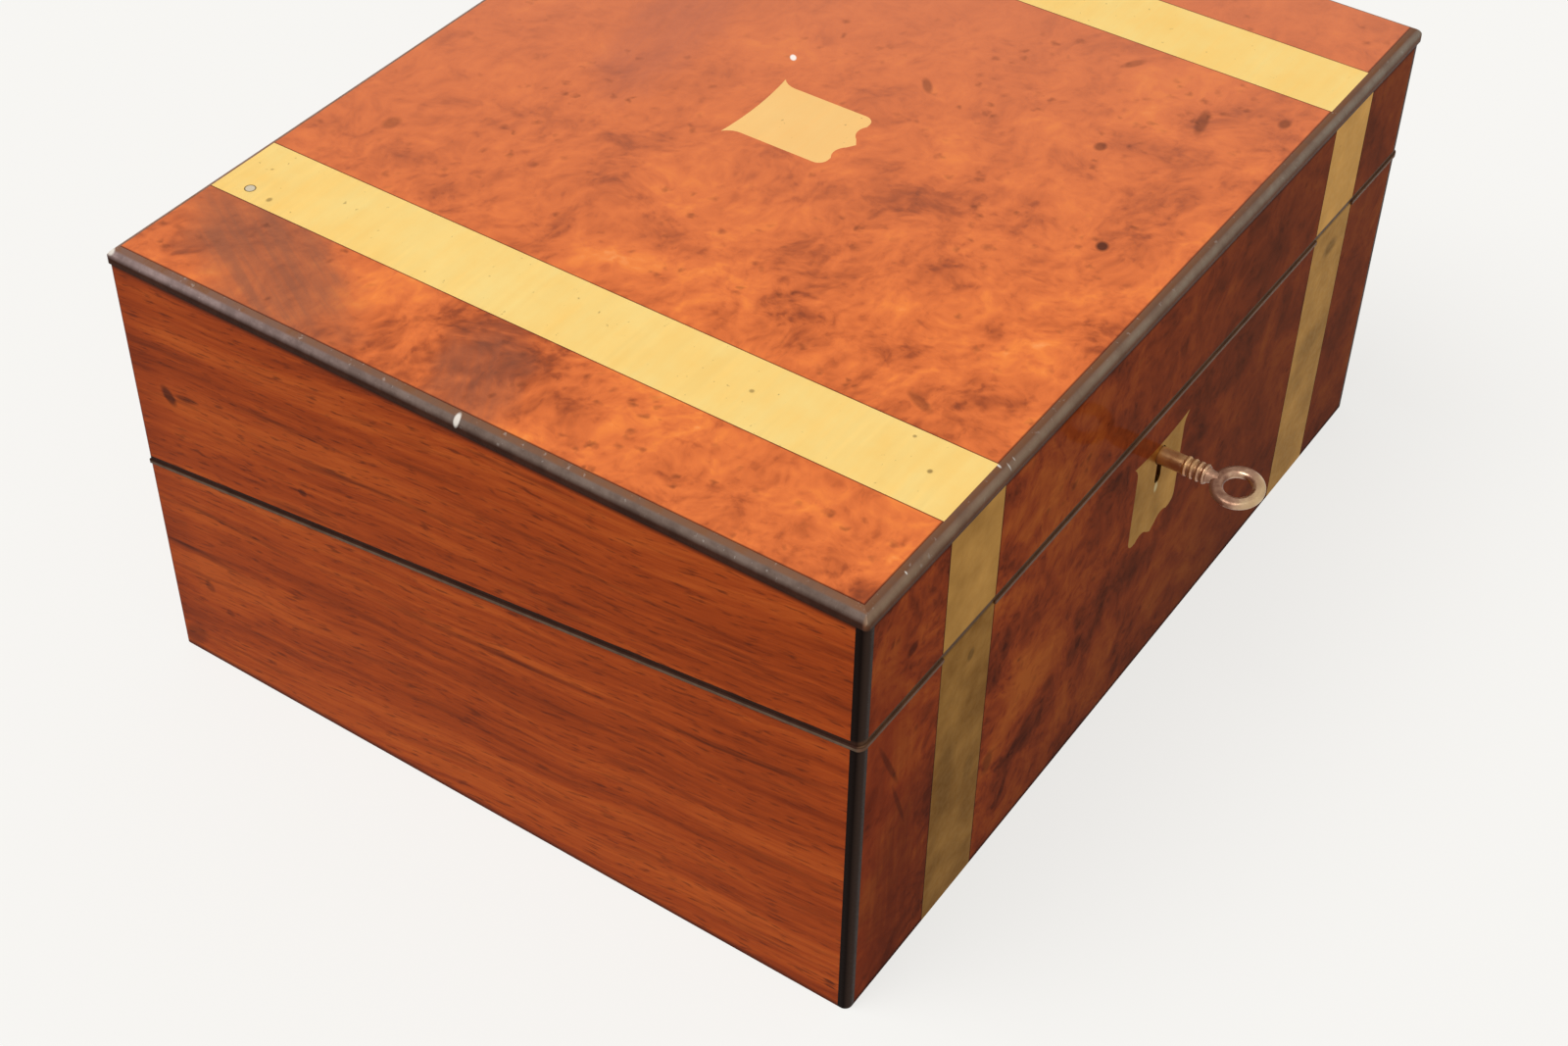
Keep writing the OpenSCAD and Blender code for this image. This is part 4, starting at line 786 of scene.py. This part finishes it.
# %% Mahogany
def mahogany(name, light, dark, roughness, stretch):
    """Mahogany. Stretch is the length of its fine pores along x, y and z."""
    material, tree, shader, mm = start_material(name)
    lie = add(tree, "Mapping", {"Vector": ragged(tree, mm, 50, 8), "Scale": stretch}, vector_type="TEXTURE")
    bands = add(tree, "TexNoise", {"Vector": lie, "Scale": 1 / 9, "Detail": 4.0})
    pores = add(tree, "TexNoise", {"Vector": lie, "Scale": 1 / 1.1, "Detail": 3.0})
    tone = add(tree, "Math", {0: pores, 1: 0.5, 2: -0.25}, operation="MULTIPLY_ADD")
    tone = add(tree, "Math", {0: bands, 1: tone}, operation="ADD")
    wood = add(tree, "ValToRGB", {"Fac": tone}, stops=[(0.30, dark), (0.68, light)])
    relief = add(tree, "Bump", {"Height": pores, "Distance": 0.0001, "Strength": 0.3})
    plug(tree, shader, {"Base Color": wood, "Normal": relief, "Roughness": roughness,
                        "Specular IOR Level": 0.12})
    return material


along_x, along_y = (20, 1, 1), (1, 20, 1)
carcass_wood = mahogany("mahogany_carcass_plain", "#A05A34", "#6A3519", 0.6, along_x)
carcass_sides = mahogany("mahogany_carcass_sides", "#A05A34", "#6A3519", 0.6, along_y)
inner_wood = mahogany("mahogany_shellacked", "#AC6235", "#70391A", 0.4, along_x)
inner_sides = mahogany("mahogany_shellacked_sides", "#AC6235", "#70391A", 0.4, along_y)
print("mahogany ready")

# %% Glass
bottle_glass, tree, shader, mm = start_material("moulded_soda_glass")
waves = add(tree, "TexNoise", {"Vector": mm, "Scale": 1 / 8, "Detail": 1.0})
relief = add(tree, "Bump", {"Height": waves, "Distance": 0.0004, "Strength": 0.3})
tint = add(tree, "ValToRGB", {"Fac": waves}, stops=[(0.3, "#DDEBE4"), (0.7, "#EEF5F1")])
plug(tree, shader, {"Base Color": tint, "Normal": relief, "Roughness": 0.03, "IOR": 1.5,
                    "Transmission Weight": 1.0})
print("inner materials ready")

# %% [markdown]
# ## Each node gets its material
#
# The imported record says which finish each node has. One table turns those
# finishes into the materials made above. The few nodes that share a finish
# but not a grain direction, such as the back veneers, are set by name.

# %% Assign
finish_of = {
    "carcass_wood": carcass_wood, "burr_walnut": burr_front, "side_veneer": side_walnut, "ebony": ebony,
    "brass_top": brass_top, "brass_front": brass_front, "brass_works": brass_works, "old_iron": rusty_iron,
    "inner_wood": inner_wood, "leather": leather_base, "glass": bottle_glass,
}
special = {
    "lid_top_veneer": burr_top, "base_back_veneer": back_walnut, "lid_back_veneer": back_walnut,
    "base_left_board": carcass_sides, "base_right_board": carcass_sides,
    "lid_left_board": carcass_sides, "lid_right_board": carcass_sides,
    "base_flap_ledges": inner_sides, "lid_flap_ledges": inner_sides, "well_partitions": inner_sides,
    "tray_bearers": inner_sides, "cartouche": brass_shield, "lid_flap_leather": leather_lid,
    "ink_cap_left": milled_brass, "ink_cap_right": milled_brass,
}
for part in frame["record"]["subparts"]:
    node = nodes[part["node"]]
    node.data.materials.clear()
    node.data.materials.append(special.get(part["node"], finish_of[part["material_slot"]]))

# %% [markdown]
# ## Slotted screws
#
# The hinges, the lock and its link plate are held by small brass screws with
# one slot. A screw head is a short cylinder whose top is inset and raised into
# a low dome. Two bisecting planes cut the dome, and the strip between them is
# pushed down to make the slot. The head is modelled once, at the origin, and
# each copy has its own mesh, which is moved to its place.
#
# Only the head shows. It stands 0.2 mm proud. The slot is shallow, and its
# nearly black colour is painted shade for its depth.

# %% Picking faces
def pick_faces(piece, wanted):
    """Goes into edit mode with only the wanted faces selected."""
    bpy.ops.object.mode_set(mode="EDIT")
    bpy.ops.mesh.select_mode(type="FACE")
    bpy.ops.mesh.select_all(action="DESELECT")
    bpy.ops.object.mode_set(mode="OBJECT")
    for face in piece.data.polygons:
        face.select = wanted(face)
    bpy.ops.object.mode_set(mode="EDIT")


print("faces can be picked")

# %% Painted shade in the slot
slot_shade, tree, shader, mm = start_material("painted_shade_in_slot")
lumps = add(tree, "TexNoise", {"Vector": mm, "Scale": 1 / 0.7, "Detail": 2.0})
slot_dark_tone = add(tree, "ValToRGB", {"Fac": lumps}, stops=[(0.3, "#17100A"), (0.7, "#33241A")])
plug(tree, shader, {"Base Color": slot_dark_tone, "Roughness": 0.8})
print("slot material ready")

# %% One screw head
screw_radius, screw_height, screw_proud = 1.5, 1.0, 0.2
dome_border, dome_rise = 0.22, 0.08
slot_half_width, slot_floor = 0.2, 0.04
screw_middle = screw_proud - (0.5 * screw_height + dome_rise)
bpy.ops.object.select_all(action="DESELECT")
bpy.ops.mesh.primitive_cylinder_add(vertices=32, radius=screw_radius * MM, depth=screw_height * MM,
                                    location=(0, 0, screw_middle * MM))
screw = bpy.context.object
screw.name = "screw_head"
bpy.ops.object.transform_apply(location=True, rotation=True, scale=True)
screw.data.materials.append(brass_works)
screw.data.materials.append(slot_shade)
pick_faces(screw, lambda face: face.normal.z > 0.9)
bpy.ops.mesh.inset(thickness=dome_border * MM)
bpy.ops.transform.translate(value=(0, 0, dome_rise * MM))
bpy.ops.object.mode_set(mode="OBJECT")
for cut in (-slot_half_width, slot_half_width):
    pick_faces(screw, lambda face: face.normal.z > 0.99)
    bpy.ops.mesh.bisect(plane_co=(cut * MM, 0, 0), plane_no=(1, 0, 0))
    bpy.ops.object.mode_set(mode="OBJECT")
pick_faces(screw, lambda face: face.normal.z > 0.99 and abs(face.center.x) < 0.5 * slot_half_width * MM)
bpy.ops.mesh.extrude_region_move(TRANSFORM_OT_translate={"value": (0, 0, (slot_floor - screw_proud) * MM)})
screw.active_material_index = 1
bpy.ops.object.material_slot_assign()
bpy.ops.mesh.select_all(action="SELECT")
bpy.ops.mesh.remove_doubles(threshold=0.001 * MM)
bpy.ops.object.mode_set(mode="OBJECT")
print("screw head:", len(screw.data.polygons), "faces, highest at",
      max(v.co.z for v in screw.data.vertices) / MM)

# %% Screws in their places
def on_slant(x, along, above):
    """A point by its distance along the slant from the back of the rim, and above it."""
    return Vector((x, back_y + along * math.cos(slant) + above * math.sin(slant),
                   rim_back_z - along * math.sin(slant) + above * math.cos(slant))) * MM


def drive_screw(name, body, place, facing_up, twist):
    """A copy of the screw head, turned by twist and laid on the slant, facing up or down."""
    copy = bpy.data.objects.new(name, screw.data.copy())
    bpy.context.scene.collection.objects.link(copy)
    tilt = -slant if facing_up else math.pi - slant
    laid = Matrix.Translation(place) @ Matrix.Rotation(tilt, 4, "X")
    copy.data.transform(laid @ Matrix.Rotation(twist, 4, "Z"))
    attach(copy, body)


hinge_x, hinge_along, hinge_screws = 95, -5.25, (-18, 0, 18)
flap_x, rail_along, flap_along, flap_face, flap_screws = 92, -16.6, -28.1, 2, (-7, 7)
lock_x, lock_along, lock_screw = 2, -239.8, 30
# Name, body, x, along the slant, above it, facing up
screw_places = []
for side in (-1, 1):
    for x in hinge_screws:
        for name, body, up in (("hinge_screw_base", "base", True), ("hinge_screw_lid", "lid", False)):
            screw_places.append((name, body, side * hinge_x + x, hinge_along, 0, up))
    for x in flap_screws:
        for prefix, leaf, flap, above, up in (("", "base", "base_flap", -flap_face, True),
                                              ("lid_", "lid", "lid_flap", flap_face, False)):
            screw_places.append((prefix + "flap_screw_rail", leaf, side * flap_x + x, rail_along, above, up))
            screw_places.append((prefix + "flap_screw", flap, side * flap_x + x, flap_along, above, up))
    screw_places.append(("lock_screw", "base", lock_x + side * lock_screw, lock_along, 0, True))
    screw_places.append(("link_plate_screw", "lid", lock_x + side * lock_screw, lock_along, 0, False))
for number, (name, body, x, along, above, up) in enumerate(screw_places):
    drive_screw(f"{name}_{number:02d}", body, on_slant(x, along, above), up, 0.7 * number)
bpy.data.objects.remove(screw)
print("screws placed:", len(screw_places))

# %% [markdown]
# ## Ink
#
# A little ink is left in each bottle. Its surface climbs the glass at the
# edge, because ink wets glass: the top face of a cylinder is inset twice and
# lowered to make that curve.

# %% Ink in the bottles
ink, tree, shader, mm = start_material("iron_gall_ink")
settled = add(tree, "TexNoise", {"Vector": mm, "Scale": 1 / 6, "Detail": 3.0})
depth = add(tree, "ValToRGB", {"Fac": settled}, stops=[(0.3, "#0B0D18"), (0.7, "#1B2036")])
plug(tree, shader, {"Base Color": depth, "Roughness": 0.12, "IOR": 1.34})
ink_radius, ink_depth, ink_middle = 11.9, 8, 56.1
for side in (-1, 1):
    bpy.ops.object.select_all(action="DESELECT")
    bpy.ops.mesh.primitive_cylinder_add(vertices=48, radius=ink_radius * MM, depth=ink_depth * MM,
                                        location=(side * well_x * MM, well_y * MM, ink_middle * MM))
    pool = bpy.context.object
    pool.name = "ink_left" if side < 0 else "ink_right"
    bpy.ops.object.transform_apply(location=True, rotation=True, scale=True)
    pick_faces(pool, lambda face: face.normal.z > 0.9)
    for inset, lower in ((0.4, 0.5), (1.0, 0.3)):
        bpy.ops.mesh.inset(thickness=inset * MM)
        bpy.ops.transform.translate(value=(0, 0, -lower * MM))
    bpy.ops.object.mode_set(mode="OBJECT")
    pool.data.materials.append(ink)
    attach(pool, "base")
    print(pool.name, "holds", len(pool.data.polygons), "faces")

# %% Print the size of the visual model
low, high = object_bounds()
print("visual box in mm:", [round(v / MM, 1) for v in (*low, *high)])
